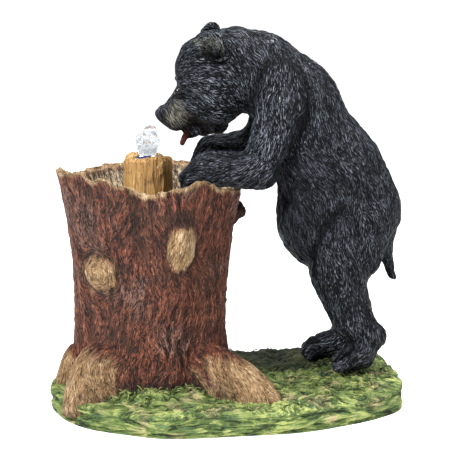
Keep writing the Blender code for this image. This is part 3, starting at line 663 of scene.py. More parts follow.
def tree_stump():
    """The stump's skin: the rings, carved along the grain, which runs up the bark and round the knots."""
    sides = 560
    angle, radius, height, climb, root = stump_rings(sides, 2)
    turn = np.radians(angle)
    rings = np.stack([STUMP_X + radius * np.cos(turn), STUMP_Y + radius * np.sin(turn), height], -1)
    normals = grid_normals(rings)
    along = unit_length(np.gradient(rings, axis=0))
    around = unit_length(np.roll(rings, -1, 1) - np.roll(rings, 1, 1))
    flat = rings.reshape(-1, 3)
    outside = (climb <= 1.0)
    wander = 0.65 * clay_noise(flat / 0.050, 11) + 0.50 * clay_noise(flat / 0.016, 17)
    wander = wander.reshape(climb.shape)
    flow = along + around * wander[..., None]
    fibre_way = unit_length(flow).reshape(-1, 3)
    ragged = brushed(flat, fibre_way, 0.0055, 0.022, 15).reshape(climb.shape)
    wood = np.zeros_like(climb)
    angles = np.broadcast_to(angle, climb.shape)
    carve = np.zeros_like(climb)
    for n, knot in enumerate(KNOTS):
        out, bearing = knot_ring(angles, height, knot)
        near = ramp_between(out, 2.3, 1.2) * outside
        ringed = -around * np.sin(bearing)[..., None] + along * np.cos(bearing)[..., None]
        if n == 1:
            ringed = along + 0.25 * around
            near = ramp_between(out, 1.25, 0.95) * outside
        flow = flow * (1.0 - near[..., None]) + ringed * near[..., None]
        if n != 2:
            edge = (out + 0.30 * ragged, 1.50, 0.80) if n != 1 else (out + 0.12 * ragged, 1.22, 0.92)
            wood = np.maximum(wood, ramp_between(*edge) * outside)
        carve = carve - KNOT_GROOVE * bump(out - 1.35, 0.20) * outside
        curls = np.cos(out * 11.0 + 1.8 * np.sin(bearing * 2.0 + 0.6) + 1.5 * ragged)
        carve = carve + KNOT_CURL * curls * ramp_between(out, 1.5, 1.0) * outside * (n != 1)
    root_wood = ramp_between(root + 0.25 * ragged, 0.10, 0.60)
    root_wood = root_wood * ramp_between(climb + 0.08 * ragged, -0.06, -0.40)
    wood = np.maximum(wood, 0.92 * root_wood)
    below_rim = height - rim_height(angles)
    lip = ramp_between(below_rim + 0.0022 * ragged, -0.0110, -0.0045)
    wood = np.maximum(wood, lip * ramp_between(climb, 1.10, 1.02))
    flow = unit_length(flow).reshape(-1, 3)
    fibre = brushed(flat, flow, 0.0034, 0.014, 12).reshape(climb.shape)
    plates = brushed(flat, flow, 0.0065, 0.018, 13).reshape(climb.shape)
    broad = brushed(flat, flow, 0.0200, 0.080, 16).reshape(climb.shape)
    cracks = ramp_between(brushed(flat, flow, 0.0040, 0.016, 14).reshape(climb.shape), -0.15, -0.50)
    rough = np.where(outside, 1.0, 0.8)
    smooth_knot = ramp_between(knot_ring(angles, height, KNOTS[1])[0], 1.2, 0.9) * outside
    rough = rough * (1.0 - 0.75 * smooth_knot) * (1.0 - 0.45 * root * outside)
    relief = FIBRE_RELIEF * fibre + PLATE_RELIEF * plates + FOLD_RELIEF * broad * outside
    relief = (relief - CRACK_DEPTH * cracks) * rough + carve - BARK_CUT - ROOT_CUT * root * outside
    place = rings + normals * relief[..., None]
    ridge = 0.52 + 0.26 * fibre + 0.22 * plates - 0.38 * cracks * (1.0 - 0.6 * wood) + carve * 160
    ridge = ridge + 0.30 * lip + 0.18 * smooth_knot
    ridge = np.clip(ridge, 0.0, 1.0)
    # painted shade: dark at the foot, in the valley under the notch, in the troughs of the broad folds and
    # round each knot, and all over the third knot
    turf_line = turf_height(*rings.reshape(-1, 3)[:, :2].T).reshape(climb.shape)
    hollow = 0.75 * ramp_between(height - turf_line, 0.022, 0.0) * (1.0 - 0.6 * root_wood)
    valley = bump(turn_offset(angles, -97), 11) * bump(height - RIM_HEIGHT + 0.055, 0.045)
    hollow = np.maximum(hollow, 0.65 * valley) + 0.35 * np.clip(-broad, 0.0, 1.0)
    for knot in KNOTS:
        hollow = np.maximum(hollow, 0.40 * bump(knot_ring(angles, height, knot)[0] - 1.45, 0.22))
    hollow = np.maximum(hollow, 0.9 * ramp_between(knot_ring(angles, height, KNOTS[2])[0], 1.6, 0.9))
    hollow = np.clip(hollow, 0.0, 1.0) * outside
    marks = {"flow": flow.reshape(rings.shape), "ridge": ridge, "wood": wood, "hollow": hollow,
             "inside": ramp_between(climb, 1.02, 1.10)}
    return closed_skin("stump", place, bark_finish(), marks)


stump = tree_stump()
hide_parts("tree_stump")
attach(stump, "root")

# The small log: a resin casting that stands on the basin's floor and hides the pump. It is painted
# ochre with brown grain, and the water that falls back keeps it wet and glossy.
SPOUT_RADIUS = 0.035
SPOUT_TOP = 0.364
RING_RADIUS = 0.0185
RING_HEIGHT = 0.010
GAP = 0.0004
LOG_BROWN = (0.160, 0.068, 0.020)
LOG_OCHRE = (0.600, 0.330, 0.105)
LOG_PALE = (0.880, 0.660, 0.330)
LOG_STAIN = (0.085, 0.042, 0.018)


def log_finish():
    """Ochre brushed over brown and paler on the ridges, blotched with a brown stain, and wet."""
    material, tree, shader = new_finish("log_paint")
    fibre = strokes(tree, 0.0018, 0.012)
    high = weighted(tree, (fibre, 0.6), (read_mark(tree, "ridge"), 0.5))
    colour = dry_brushed(tree, LOG_BROWN, LOG_OCHRE, high, 0.12, 0.50)
    colour = dry_brushed(tree, colour, LOG_PALE, high, 0.52, 0.95, 0.9)
    colour = dry_brushed(tree, colour, LOG_STAIN, speckle(tree, 0.016, 3.0, 0.6), 0.54, 0.72, 0.65)
    roughness = between(tree, fibre, 0.2, 0.9, 0.34, 0.18)
    coat(tree, shader, colour, roughness, fibre, 0.0014)
    return material


def small_log():
    """A short grooved log: a ring profile from its foot up and into the round seat in its top."""
    sides = 240
    angle = 360.0 * np.arange(sides) / sides
    turn = np.radians(angle)
    foot = RIM_HEIGHT - BASIN_DEPTH + GAP
    seat = RING_RADIUS + GAP
    bark = 0.0010 * np.cos(7 * turn) + 0.0008 * np.cos(11 * turn + 1.0)
    crest = 0.0022 * np.cos(2 * turn + 2.2) + 0.0012 * np.cos(5 * turn)
    # how far along, radius, height, how grooved, and how far it follows the wavy crest
    profile = np.array((
        (0.0, SPOUT_RADIUS + 0.003, foot, 1.0, 0.0),
        (0.15, SPOUT_RADIUS, foot + 0.030, 1.0, 0.0),
        (0.60, SPOUT_RADIUS, SPOUT_TOP - 0.030, 1.0, 0.2),
        (0.78, SPOUT_RADIUS - 0.0004, SPOUT_TOP - 0.005, 1.0, 1.0),
        (0.82, SPOUT_RADIUS - 0.0020, SPOUT_TOP - 0.0012, 0.8, 1.0),
        (0.86, SPOUT_RADIUS - 0.005, SPOUT_TOP, 0.6, 1.0),
        (0.93, seat + 0.003, SPOUT_TOP - 0.001, 0.0, 0.4),
        (0.95, seat, SPOUT_TOP - 0.003, 0.0, 0.0),
        (1.0, seat, SPOUT_TOP - RING_HEIGHT, 0.0, 0.0)))
    steps = np.concatenate([np.linspace(0.0, 0.6, 40), np.linspace(0.61, 1.0, 40)])
    radius, height, rough, wave = (np.interp(steps, profile[:, 0], profile[:, k]) for k in (1, 2, 3, 4))
    radius = radius[:, None] + bark * rough[:, None]
    height = height[:, None] + crest * wave[:, None]
    rings = np.stack([STUMP_X + radius * np.cos(turn), STUMP_Y + radius * np.sin(turn), height], -1)
    normals = grid_normals(rings)
    flow = unit_length(np.gradient(rings, axis=0)).reshape(-1, 3)
    flat = rings.reshape(-1, 3)
    fibre = brushed(flat, flow, 0.0030, 0.030, 21).reshape(radius.shape)
    cracks = ramp_between(brushed(flat, flow, 0.0045, 0.036, 22).reshape(radius.shape), -0.1, -0.5)
    relief = (0.0007 * fibre - 0.0012 * cracks) * ramp_between(steps, 0.95, 0.90)[:, None]
    marks = {"flow": flow.reshape(rings.shape), "ridge": np.clip(0.55 + 0.4 * fibre - 0.4 * cracks, 0.0, 1.0)}
    return closed_skin("small_log", rings + normals * relief[..., None], log_finish(), marks)


log = small_log()
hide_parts("spout_stump")
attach(log, "root")

# The ring light: a moulded dark blue plastic ring that sits in the log's seat, round the nozzle, with
# four small white lamps under clear domes.
RING_HOLE = 0.006
LAMP_RADIUS = 0.0028
LAMP_RISE = 0.0012
RING_DEEP = (0.008, 0.016, 0.090)
RING_BLUE = (0.030, 0.070, 0.260)
LAMP_WHITE = (0.90, 0.94, 1.0)
LAMP_GLOW = (0.85, 0.92, 1.0)


def ring_finish():
    """Dark blue glossy plastic, a little hazy, with white lamps that glow."""
    material, tree, shader = new_finish("ring_plastic")
    lamp = read_mark(tree, "lamp")
    haze = speckle(tree, 0.004)
    colour = painted(tree, dry_brushed(tree, RING_DEEP, RING_BLUE, haze, 0.35, 0.7), LAMP_WHITE, lamp)
    tree.links.new(colour, shader.inputs["Base Color"])
    tree.links.new(between(tree, haze, 0.2, 0.8, 0.12, 0.28), shader.inputs["Roughness"])
    tree.links.new(painted(tree, (0.0, 0.0, 0.0), LAMP_GLOW, lamp), shader.inputs["Emission Color"])
    shader.inputs["Emission Strength"].default_value = 2.2
    return material


def ring_light():
    """A turned ring: a closed profile carried round, with four domes raised on its top."""
    foot = SPOUT_TOP - RING_HEIGHT + GAP
    middle = (RING_RADIUS + RING_HOLE) / 2
    profile = np.array((
        (RING_RADIUS, foot), (RING_RADIUS, foot + 0.5 * RING_HEIGHT),
        (RING_RADIUS - 0.0015, foot + 0.8 * RING_HEIGHT), (middle + 0.002, foot + 0.97 * RING_HEIGHT),
        (middle - 0.003, foot + 0.93 * RING_HEIGHT), (RING_HOLE, foot + 0.7 * RING_HEIGHT),
        (RING_HOLE, foot)))
    steps = np.linspace(0, len(profile) - 1, 44)
    radius = np.interp(steps, np.arange(len(profile)), profile[:, 0])
    height = np.interp(steps, np.arange(len(profile)), profile[:, 1])
    sides = 128
    turn = np.radians(360.0 * np.arange(sides) / sides)
    domes = np.zeros((len(steps), sides))
    for n in range(4):
        offset = np.abs(turn_offset(np.degrees(turn), 45 + 90 * n - 90))
        away = np.hypot(np.radians(offset)[None, :] * middle, (radius - middle)[:, None])
        domes = np.maximum(domes, np.sqrt(np.clip(1.0 - (away / LAMP_RADIUS) ** 2, 0.0, 1.0)))
    domes = domes * (steps > 1.5)[:, None] * (steps < 5.0)[:, None]
    height = height[:, None] + LAMP_RISE * domes
    radius = np.broadcast_to(radius[:, None], domes.shape)
    rings = np.stack([STUMP_X + radius * np.cos(turn), STUMP_Y + radius * np.sin(turn), height], -1)
    rows = len(steps)
    index = np.arange(rows * sides).reshape(rows, sides)
    after = np.roll(index, -1, 1)
    above, above_after = np.roll(index, -1, 0), np.roll(after, -1, 0)
    quads = np.stack([index, after, above_after, above], -1).reshape(-1, 4)
    mesh = bpy.data.meshes.new("ring_light")
    mesh.from_pydata(rings.reshape(-1, 3).tolist(), [], quads.tolist())
    mark(mesh, "lamp", ramp_between(domes, 0.05, 0.4).reshape(-1, 1))
    mesh.shade_smooth()
    mesh.materials.append(ring_finish())
    piece = bpy.data.objects.new("ring_light", mesh)
    bpy.context.scene.collection.objects.link(piece)
    return piece


ring = ring_light()
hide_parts("light_ring")
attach(ring, "root")

# The water: a low bubbling plume that the pump lifts through the ring, clear and full of air, lumpy
# where it turns over. It is shown as one clear body.
PLUME_HEIGHT = 0.042
PLUME_RADIUS = 0.0175
BEAD_RISE = 0.0014
FROTH_RISE = 0.0006
WATER_BLUE = (0.86, 0.92, 1.0)
WATER_WHITE = (1.0, 1.0, 1.0)


def water_finish():
    """Clear water, faintly blue between the froth, with a faint glow for the light from below."""
    material, tree, shader = new_finish("water")
    froth = speckle(tree, 0.0045, 3.0, 0.6)
    colour = dry_brushed(tree, WATER_BLUE, WATER_WHITE, froth, 0.40, 0.60)
    tree.links.new(colour, shader.inputs["Base Color"])
    shader.inputs["Roughness"].default_value = 0.04
    shader.inputs["IOR"].default_value = 1.33
    shader.inputs["Transmission Weight"].default_value = 1.0
    shader.inputs["Emission Color"].default_value = (0.90, 0.95, 1.0, 1.0)
    shader.inputs["Emission Strength"].default_value = 0.14
    ripple = node(tree, "Bump", {"Height": froth, "Distance": 0.0003, "Strength": 1.0})
    tree.links.new(ripple.outputs["Normal"], shader.inputs["Normal"])
    return material


def new_piece(name, bm, material):
    """An object in the scene from a built mesh, with its material."""
    mesh = bpy.data.meshes.new(name)
    bm.to_mesh(mesh)
    bm.free()
    mesh.materials.append(material)
    piece = bpy.data.objects.new(name, mesh)
    bpy.context.scene.collection.objects.link(piece)
    return piece


def fused(piece, voxel):
    """Run a voxel remesh on a piece, and keep the result as its mesh."""
    fuse = piece.modifiers.new("fuse", "REMESH")
    fuse.mode = "VOXEL"
    fuse.voxel_size = voxel
    graph = bpy.context.evaluated_depsgraph_get()
    mesh = bpy.data.meshes.new_from_object(piece.evaluated_get(graph))
    piece.modifiers.clear()
    piece.data = mesh
    mesh.shade_smooth()
    return mesh


def vertex_places(mesh):
    """Every vertex as one row of x, y and z."""
    flat = np.empty(len(mesh.vertices) * 3)
    mesh.vertices.foreach_get("co", flat)
    return flat.reshape(-1, 3)


def vertex_normals(mesh):
    """Every vertex's outward direction as one row."""
    flat = np.empty(len(mesh.vertices) * 3)
    mesh.vertex_normals.foreach_get("vector", flat)
    return flat.reshape(-1, 3)


def water_plume():
    """Rounds of water fused into one skin, then roughened into bubbles by two sizes of noise."""
    foot = np.array((STUMP_X, STUMP_Y, SPOUT_TOP + RING_HEIGHT * 0.25))
    lobes = ((0.0, 0.0, 0.24, 0.90), (-0.40, -0.20, 0.48, 0.64), (0.22, 0.10, 0.72, 0.66),
             (0.46, -0.15, 0.46, 0.58), (-0.05, 0.40, 0.48, 0.60))
    bm = bmesh.new()
    for x, y, z, size in lobes:
        middle = foot + (x * PLUME_RADIUS, y * PLUME_RADIUS, z * PLUME_HEIGHT)
        place = Matrix.Translation(middle)
        bmesh.ops.create_icosphere(bm, subdivisions=4, radius=size * PLUME_RADIUS, matrix=place)
    piece = new_piece("water", bm, water_finish())
    mesh = fused(piece, 0.0009)
    places = vertex_places(mesh)
    normals = vertex_normals(mesh)
    beads = BEAD_RISE * clay_noise(places / 0.0058, 31) + FROTH_RISE * clay_noise(places / 0.0030, 32)
    places = places + normals * (beads - 0.0003)[:, None]
    places[:, 2] = np.maximum(places[:, 2], foot[2] - 0.0015)
    mesh.vertices.foreach_set("co", places.ravel())
    mesh.update()
    return piece


water = water_plume()
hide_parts("water_plume")
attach(water, "root")

# The bear: one hollow resin casting, sculpted in overlapping locks of short fur, painted black and
# dry-brushed slate blue. Its feet stand on the turf and its forearms lie on the stump's rim; the
# muzzle is tan, the nose and eyes are glossed, and the tongue is out.
BEAR_HEIGHT = 0.517
HEAD_ROLL = 20.0
HEAD_YAW = 6.0
ARM_SINK = 0.003
FOOT_SINK = 0.0025
UNIT = BEAR_HEIGHT / 100
FUR_BLACK = (0.0020, 0.0022, 0.0029)
FUR_SLATE = (0.030, 0.034, 0.045)
# the pale slate of the dry brush, also used for painted highlights
FUR_SHINE = (0.330, 0.365, 0.430)
EAR_OLIVE = (0.210, 0.212, 0.190)
MUZZLE_TAN = (0.290, 0.285, 0.240)
TONGUE_RED = (0.105, 0.030, 0.022)
MUZZLE_DARK = (0.024, 0.023, 0.019)
NOSE_BLACK = (0.004, 0.004, 0.005)
# how deep the hairs, locks, ruff, toes and folds are carved, how far the skin is cut back to make room
# for them, and how far the thigh swells
HAIR_RELIEF = 0.0009
LOCK_RELIEF = 0.0012
RUFF_RELIEF = 0.0009
TOE_GROOVE = 0.0034
FOLD_DEPTH = 0.0032
FUR_CUT = 0.0020
THIGH_SWELL = 0.0034
# the near ear's front edge, forward and up in hundredths of the height
EAR_EDGE = ((45.0, 95.8), (43.2, 94.4), (41.2, 92.3))
# the thigh's front edge, from the flank down to the knee, drawn the same way
THIGH_EDGE = ((3.8, 49.6), (7.4, 45.6), (9.9, 41.0), (11.3, 37.0), (11.9, 33.0), (11.6, 29.0))


def stance_height():
    """The turf's height under the bear, less how far its feet are pressed in."""
    return float(turf_height(np.array(BEAR_X - MOUND_AHEAD), np.array(BEAR_Y))) - FOOT_SINK


STANCE = stance_height()


def share(forward, side, height):
    """A place on the bear, in hundredths of its height, forward of its stance, to its far side, up."""
    return np.array((BEAR_X - forward * UNIT, BEAR_Y + side * UNIT, STANCE + height * UNIT))


def ball(forward, side, height, long, wide, tall, lean=0.0, turn=0.0):
    """An egg of clay; lean tips its top forward and turn swings its front to the near side, in degrees."""
    pose = Matrix.Rotation(np.radians(turn), 3, "Z") @ Matrix.Rotation(np.radians(-lean), 3, "Y")
    return ("ball", share(forward, side, height), np.array((long, wide, tall)) * UNIT, np.array(pose))


def limb(start, end, thick, thin, wide=1.0):
    """A tapered roll of clay from one place to another; wide swells it sideways."""
    return ("limb", np.array(start), np.array(end), thick * UNIT, thin * UNIT, wide)


def rim_rest(angle):
    """Where a forearm lies on the rim."""
    turn = np.radians(angle)
    height = float(rim_height(np.array([float(angle)]))[0])
    radius = float(trunk_radius(np.array([float(angle)]), np.array([height]))[0]) - STUMP_WALL / 2
    return np.array((STUMP_X + radius * np.cos(turn), STUMP_Y + radius * np.sin(turn), height - ARM_SINK))


def leg(side, reach):
    """Thigh, shank, heel, sole and toes; reach is how far the foot stands forward."""
    masses = [
        ball(1.6, 0.98 * side, 38.5, 11.4, 8.0, 13.0, -6),
        limb(share(4.4, side, 30), share(0.2 - 0.1 * reach, side, 16.5), 8.2, 6.1, 0.86),
        limb(share(-0.8 - 0.05 * reach, side, 15), share(-5.3 + 0.55 * reach, side, 11.0), 5.8, 5.0, 0.86),
        limb(share(-2.8 + 0.75 * reach, side, 5.1), share(1.3 + reach, side, 3.6), 4.4, 3.5, 1.2),
    ]
    for toe in range(5):
        spread = (toe - 2) * 2.15
        back = 0.28 * abs(toe - 2)
        knuckle = share(2.0 + reach - back, side + spread * 0.88, 3.9)
        tip = share(4.1 + reach - back, side + spread, 2.6)
        masses.append(limb(knuckle, tip, 2.3, 1.85))
    return masses


def arm(side, rest_angle, reach, dip):
    """Shoulder, upper arm and forearm, which lies on the rim at rest_angle, and the hanging paw."""
    rest = rim_rest(rest_angle) + (0.0, 0.0, 4.9 * UNIT)
    out = np.sign(side)
    elbow = share(26.8, side, 0.0)
    elbow[2] = rest[2] + (0.9 * dip - 0.2) * UNIT
    wrist = rest + np.array((-4.4 - 0.5 * reach, 0.9 * out, 0.4 - 0.35 * dip)) * UNIT
    knuckles = rest + np.array((-8.0 - reach, 1.3 * out, -1.6 - 0.3 * reach - dip)) * UNIT
    masses = [
        ball(20.0, 0.72 * side, 79, 8.2, 5.4, 11.6, 14),
        limb(share(20.5, 0.80 * side, 77), elbow, 7.0, 5.2),
        limb(elbow, wrist, 5.3, 4.9),
        limb(wrist, knuckles, 4.7, 4.0, 1.1),
    ]
    for finger in range(5):
        spread = (finger - 2) * 1.75
        ahead = -10.9 - reach + 0.3 * abs(finger - 2)
        tip = rest + np.array((ahead, 1.4 * out + spread, -5.8 - 0.3 * reach - 0.5 * dip)) * UNIT
        masses.append(limb(knuckles + np.array((-0.6, 0.8 * spread, -0.8)) * UNIT, tip, 2.1, 1.25))
    return masses


def torso():
    """Hips, belly, back, chest and shoulders, up to the neck."""
    return [
        ball(-0.4, 0, 45.8, 14.1, 14.2, 15.2, -5),
        ball(8.4, 0, 48.5, 13.1, 14.4, 18.0, 2),
        ball(9.5, 0, 41.5, 10.2, 12.5, 10.4, 0),
        ball(4.6, 0, 57.0, 14.2, 14.2, 14.6, 8),
        ball(10.9, 0, 66, 12.6, 13.8, 17.0, 18),
        ball(14.6, 0, 79.0, 10.0, 11.6, 10.0, 0),
        ball(19.6, 0, 79.4, 11.4, 12.4, 11.2, 30),
        limb(share(26, 0, 86.8), share(33.5, 0, 88.2), 10.8, 10.8, 1.02),
    ]


def tail():
    """The short tail, which hangs down."""
    return [limb(share(-9.3, 0, 36), share(-12.2, 0, 26.8), 3.0, 1.3, 1.2)]


def eye_ball(out):
    """The near eye, out -1, stands a little prouder than the far one."""
    return ball(49.7, -5.1, 82.6, 1.2, 1.2, 1.2) if out < 0 else ball(49.2, 4.4, 82.2, 0.95, 0.95, 0.95)


def nose_pad():
    """The glossy pad at the end of the muzzle."""
    return ball(54.2, 0, 73.5, 1.8, 2.4, 1.5, 32)


def tongue():
    """The tongue, out over the lower lip towards the water."""
    return limb(share(46.0, -0.6, 69.6), share(48.0, -1.2, 64.4), 1.1, 0.75, 1.4)


def head():
    """Skull, jowls, muzzle, jaw, lip and nose, before the head is rolled and turned."""
    return [
        ball(40.2, 0, 87.0, 10.4, 10.8, 10.8, 0),
        ball(38.6, 0, 79.2, 9.2, 11.0, 7.8, 0),
        limb(share(45.2, 0, 77.0), share(51.5, 0, 72.8), 7.1, 3.6, 0.98),
        limb(share(39.5, 0, 72.0), share(45.2, 0, 67.6), 5.5, 2.3, 1.1),
        ball(49.4, 0, 71.3, 3.6, 4.0, 3.4, 0),
        nose_pad(),
    ]


def cheeks():
    """The cheeks and brows, on both sides of the head."""
    masses = [ball(38.4, 5.6 * out, 81.4, 6.0, 6.0, 6.4, 10) for out in (-1, 1)]
    return masses + [ball(47.2, -4.4, 84.9, 2.8, 2.8, 1.9), ball(46.4, 4.2, 84.0, 2.6, 2.6, 1.9)]


def ears():
    """The near ear is laid up against the crown, and the far one stands out."""
    return [ball(39.8, -7.9, 97.3, 2.5, 5.0, 4.4, -12, 48), ball(40.2, 9.8, 93.4, 1.7, 4.4, 4.3, -12, -48)]


def ear_cups():
    """What is scooped out of the front of each ear."""
    return [ball(41.5, -9.7, 97.2, 1.9, 3.5, 3.0, -12, 48), ball(41.4, 11.2, 93.8, 1.5, 3.0, 2.9, -12, -48)]


def hollows():
    """What is carved away: the cups of the ears, the open mouth and the nostrils."""
    mouth = limb(share(50.2, 0, 66.2), share(44.4, 0, 70.6), 1.3, 0.4, 4.5)
    nostrils = [ball(55.7, 1.15 * out, 73.6, 0.6, 0.45, 0.5, 0) for out in (-1, 1)]
    return ear_cups() + [mouth] + nostrils


def mass_distance(mass, points):
    """Signed distance to one mass of clay, near enough for blending.

    To an egg: the distance from its middle in shares of its radii, less 1, over how fast that grows.
    To a limb: the distance from its axis, less its radius there."""
    if mass[0] == "ball":
        centre, radii, pose = mass[1:]
        local = (points - centre) @ pose
        near = np.linalg.norm(local / radii, axis=1)
        return near * (near - 1.0) / np.maximum(np.linalg.norm(local / radii ** 2, axis=1), 1e-9)
    start, end, thick, thin, wide = mass[1:]
    squeeze = np.array((1.0, 1.0 / wide, 1.0))
    offset = (points - start) * squeeze
    along = (end - start) * squeeze
    step = np.clip(offset @ along / (along @ along), 0.0, 1.0)
    return np.linalg.norm(offset - step[:, None] * along, axis=1) - (thick + (thin - thick) * step)


def nearest(masses, points):
    """Signed distance to the nearest of several masses."""
    return np.min([mass_distance(mass, points) for mass in masses], axis=0)


def blend(first, second, reach):
    """Union of two distances, with the crease between them filled over about reach."""
    mix = np.clip(0.5 + 0.5 * (first - second) / reach, 0.0, 1.0)
    return first + (second - first) * mix - reach * mix * (1.0 - mix)


def group_distance(groups, points, cuts=()):
    """Signed distance to all the masses blended, each group by its own reach, less what the cuts take."""
    total = None
    for masses, reach in groups:
        for mass in masses:
            distance = mass_distance(mass, points)
            total = distance if total is None else blend(total, distance, reach)
    for cut in cuts:
        total = -blend(-total, mass_distance(cut, points), 0.0012)
    return total


def head_pose():
    """The head rolls and turns towards the near side, about the neck."""
    pivot = Matrix.Translation(share(37.0, 0, 85.0))
    roll = Matrix.Rotation(np.radians(HEAD_ROLL), 4, "X")
    yaw = Matrix.Rotation(np.radians(HEAD_YAW), 4, "Z")
    return pivot @ yaw @ roll @ pivot.inverted()


NEAR_LEG, FAR_LEG = leg(-6.9, 0.0), leg(6.9, 8.2)
NEAR_ARM, FAR_ARM = arm(-13.0, -33, 0.8, 0.0), arm(13.0, 33, -1.6, 2.6)
BODY = [(torso(), 0.026), (NEAR_LEG[:4], 0.012), (FAR_LEG[:4], 0.012), (NEAR_ARM[:4], 0.011),
        (FAR_ARM[:4], 0.011), (tail(), 0.008), (NEAR_LEG[4:], 0.0035), (FAR_LEG[4:], 0.0035),
        (NEAR_ARM[4:], 0.0035), (FAR_ARM[4:], 0.0035)]
CROWN = [(head(), 0.012), (cheeks(), 0.008), (ears(), 0.004),
         ([tongue(), eye_ball(-1), eye_ball(1)], 0.002)]
TO_HEAD = head_pose().inverted()


def in_head(points):
    """Places carried back to the head before it was rolled and turned."""
    return points @ np.array(TO_HEAD.to_3x3()).T + np.array(TO_HEAD.translation)


def bear_distance(points):
    """Signed distance to the whole bear: body and rolled head, joined at the neck."""
    return blend(group_distance(BODY, points), group_distance(CROWN, in_head(points), hollows()), 0.012)


def settle(points, distance, steps):
    """Move points onto the surface where the distance is nothing, by Newton steps."""
    reach = 0.0003
    for _ in range(steps):
        here = distance(points)
        slope = np.stack([distance(points + reach * axis) - here for axis in np.eye(3)], 1) / reach
        steep = np.maximum((slope ** 2).sum(1), 0.15)
        points = points - np.clip(here / steep, -0.004, 0.004)[:, None] * slope
    return points


def fur_flow(points, normals):
    """Which way the hair lies: down and back on the body, along each limb, and back from the nose."""
    down_back = unit_length(np.array((0.42, 0.0, -1.0)))
    skull = in_head(points)
    from_nose = unit_length(skull - share(56.0, 0.0, 77.0)) + np.array((0.25, 0.0, -0.35))
    from_nose = from_nose @ np.array(TO_HEAD.to_3x3())
    total = np.zeros_like(points)

    def lay(distance, direction, softness):
        """Add a direction to the flow near a group of masses, fading out over the softness."""
        weight = np.exp(-np.maximum(distance, 0.0) / softness)
        total[:] += weight[:, None] * unit_length(np.broadcast_to(direction, points.shape))

    lay(group_distance([(torso(), 0.026)], points), down_back, 0.010)
    lay(group_distance([(head()[:4] + cheeks(), 0.012)], skull), from_nose, 0.006)
    for limb_masses, foot_way in ((NEAR_LEG, -1.0), (FAR_LEG, -1.0)):
        lay(group_distance([(limb_masses[:3], 0.012)], points), np.array((0.16, 0.0, -1.0)), 0.006)
        lay(group_distance([(limb_masses[3:], 0.004)], points), np.array((foot_way, 0.0, -0.45)), 0.003)
    for arm_masses in (NEAR_ARM, FAR_ARM):
        lay(group_distance([(arm_masses[:2], 0.011)], points), np.array((-0.30, 0.0, -1.0)), 0.007)
        lay(group_distance([(arm_masses[2:], 0.011)], points), np.array((-1.0, 0.0, -0.28)), 0.003)
    flow = total - normals * (total * normals).sum(1)[:, None]
    flow = unit_length(flow)
    swing = 0.40 * clay_noise(points / 0.036, 41) + 0.34 * clay_noise(points / 0.009, 42)
    side = np.cross(normals, flow)
    return unit_length(flow * np.cos(swing)[:, None] + side * np.sin(swing)[:, None])


def fur_finish():
    """Slate and pale slate brushed over black, the pale slate also as painted highlights, and painted shade
    in the hollows; an olive ear, a tan muzzle, a red tongue and a glossy nose.
    """
    material, tree, shader = new_finish("fur_paint")
    hair = strokes(tree, 0.00135, 0.0050)
    lock = strokes(tree, 0.0032, 0.0100, 4.0)
    high = weighted(tree, (hair, 0.82), (lock, 0.10), (read_mark(tree, "ridge"), 0.16))
    glint = between(tree, high, 0.62, 0.92)
    glossy = read_mark(tree, "gloss")
    colour = dry_brushed(tree, FUR_BLACK, FUR_SLATE, high, 0.40, 0.74)
    colour = painted(tree, colour, FUR_SHINE, sums(tree, "MULTIPLY", glint, read_mark(tree, "shine")))
    olive = sums(tree, "MULTIPLY", read_mark(tree, "ear"), between(tree, high, 0.30, 0.75))
    colour = painted(tree, colour, EAR_OLIVE, olive)
    tan = dry_brushed(tree, MUZZLE_DARK, MUZZLE_TAN, high, 0.32, 0.78)
    colour = painted(tree, colour, tan, read_mark(tree, "muzzle"))
    colour = painted(tree, shaded(tree, colour, 0.08), TONGUE_RED, read_mark(tree, "tongue"))
    colour = painted(tree, colour, NOSE_BLACK, glossy)
    roughness = between(tree, hair, 0.2, 0.9, 0.50, 0.32)
    roughness = sums(tree, "MULTIPLY", roughness, between(tree, glossy, 0.0, 1.0, 1.0, 0.25))
    carved = weighted(tree, (hair, 1.0), (lock, 0.9))
    carved = sums(tree, "MULTIPLY", carved, between(tree, glossy, 0.0, 1.0, 1.0, 0.04))
    coat(tree, shader, colour, roughness, carved, 0.0017)
    shader.inputs["Specular IOR Level"].default_value = 0.12
    shader.inputs["Coat Roughness"].default_value = 0.22
    polish = sums(tree, "MAXIMUM", sums(tree, "MULTIPLY", glint, 0.45), sums(tree, "MULTIPLY", glossy, 0.7))
    tree.links.new(polish, shader.inputs["Coat Weight"])
    return material


def grooves(masses, points):
    """1 in the groove between two neighbours of a row of toes or fingers, 0 away from it."""
    first, second = np.sort([mass_distance(mass, points) for mass in masses], axis=0)[:2]
    return ramp_between(second - first, 0.0040, 0.0008) * ramp_between(first, 0.0065, 0.0030)


def seam(first, second, width=0.0050):
    """1 in the fold where one mass of flesh meets another, fading out over the width."""
    return bump(first - second, width) * ramp_between(np.minimum(first, second), 0.014, 0.006)


def side_view(points):
    """Places as the side view shows them: hundredths of the height forward and up from the stance."""
    return np.stack([(points[:, 0] - BEAR_X) / -UNIT, (points[:, 2] - STANCE) / UNIT], 1)


def line_distance(points, line):
    """How far each point of a flat view is from a bent line through the given corners."""
    best = np.full(len(points), 1e9)
    for start, end in zip(line[:-1], line[1:]):
        start, way = np.array(start), np.array(end) - np.array(start)
        step = np.clip((points - start) @ way / (way @ way), 0.0, 1.0)
        best = np.minimum(best, np.linalg.norm(points - start - step[:, None] * way, axis=1))
    return best


def spot(points, forward, height, long, tall):
    """1 round a place on the bear's side, on both sides alike, fading out over long and tall."""
    ahead, up = (side_view(points) - (forward, height)).T
    return np.exp(-(ahead / long) ** 2 - (up / tall) ** 2)


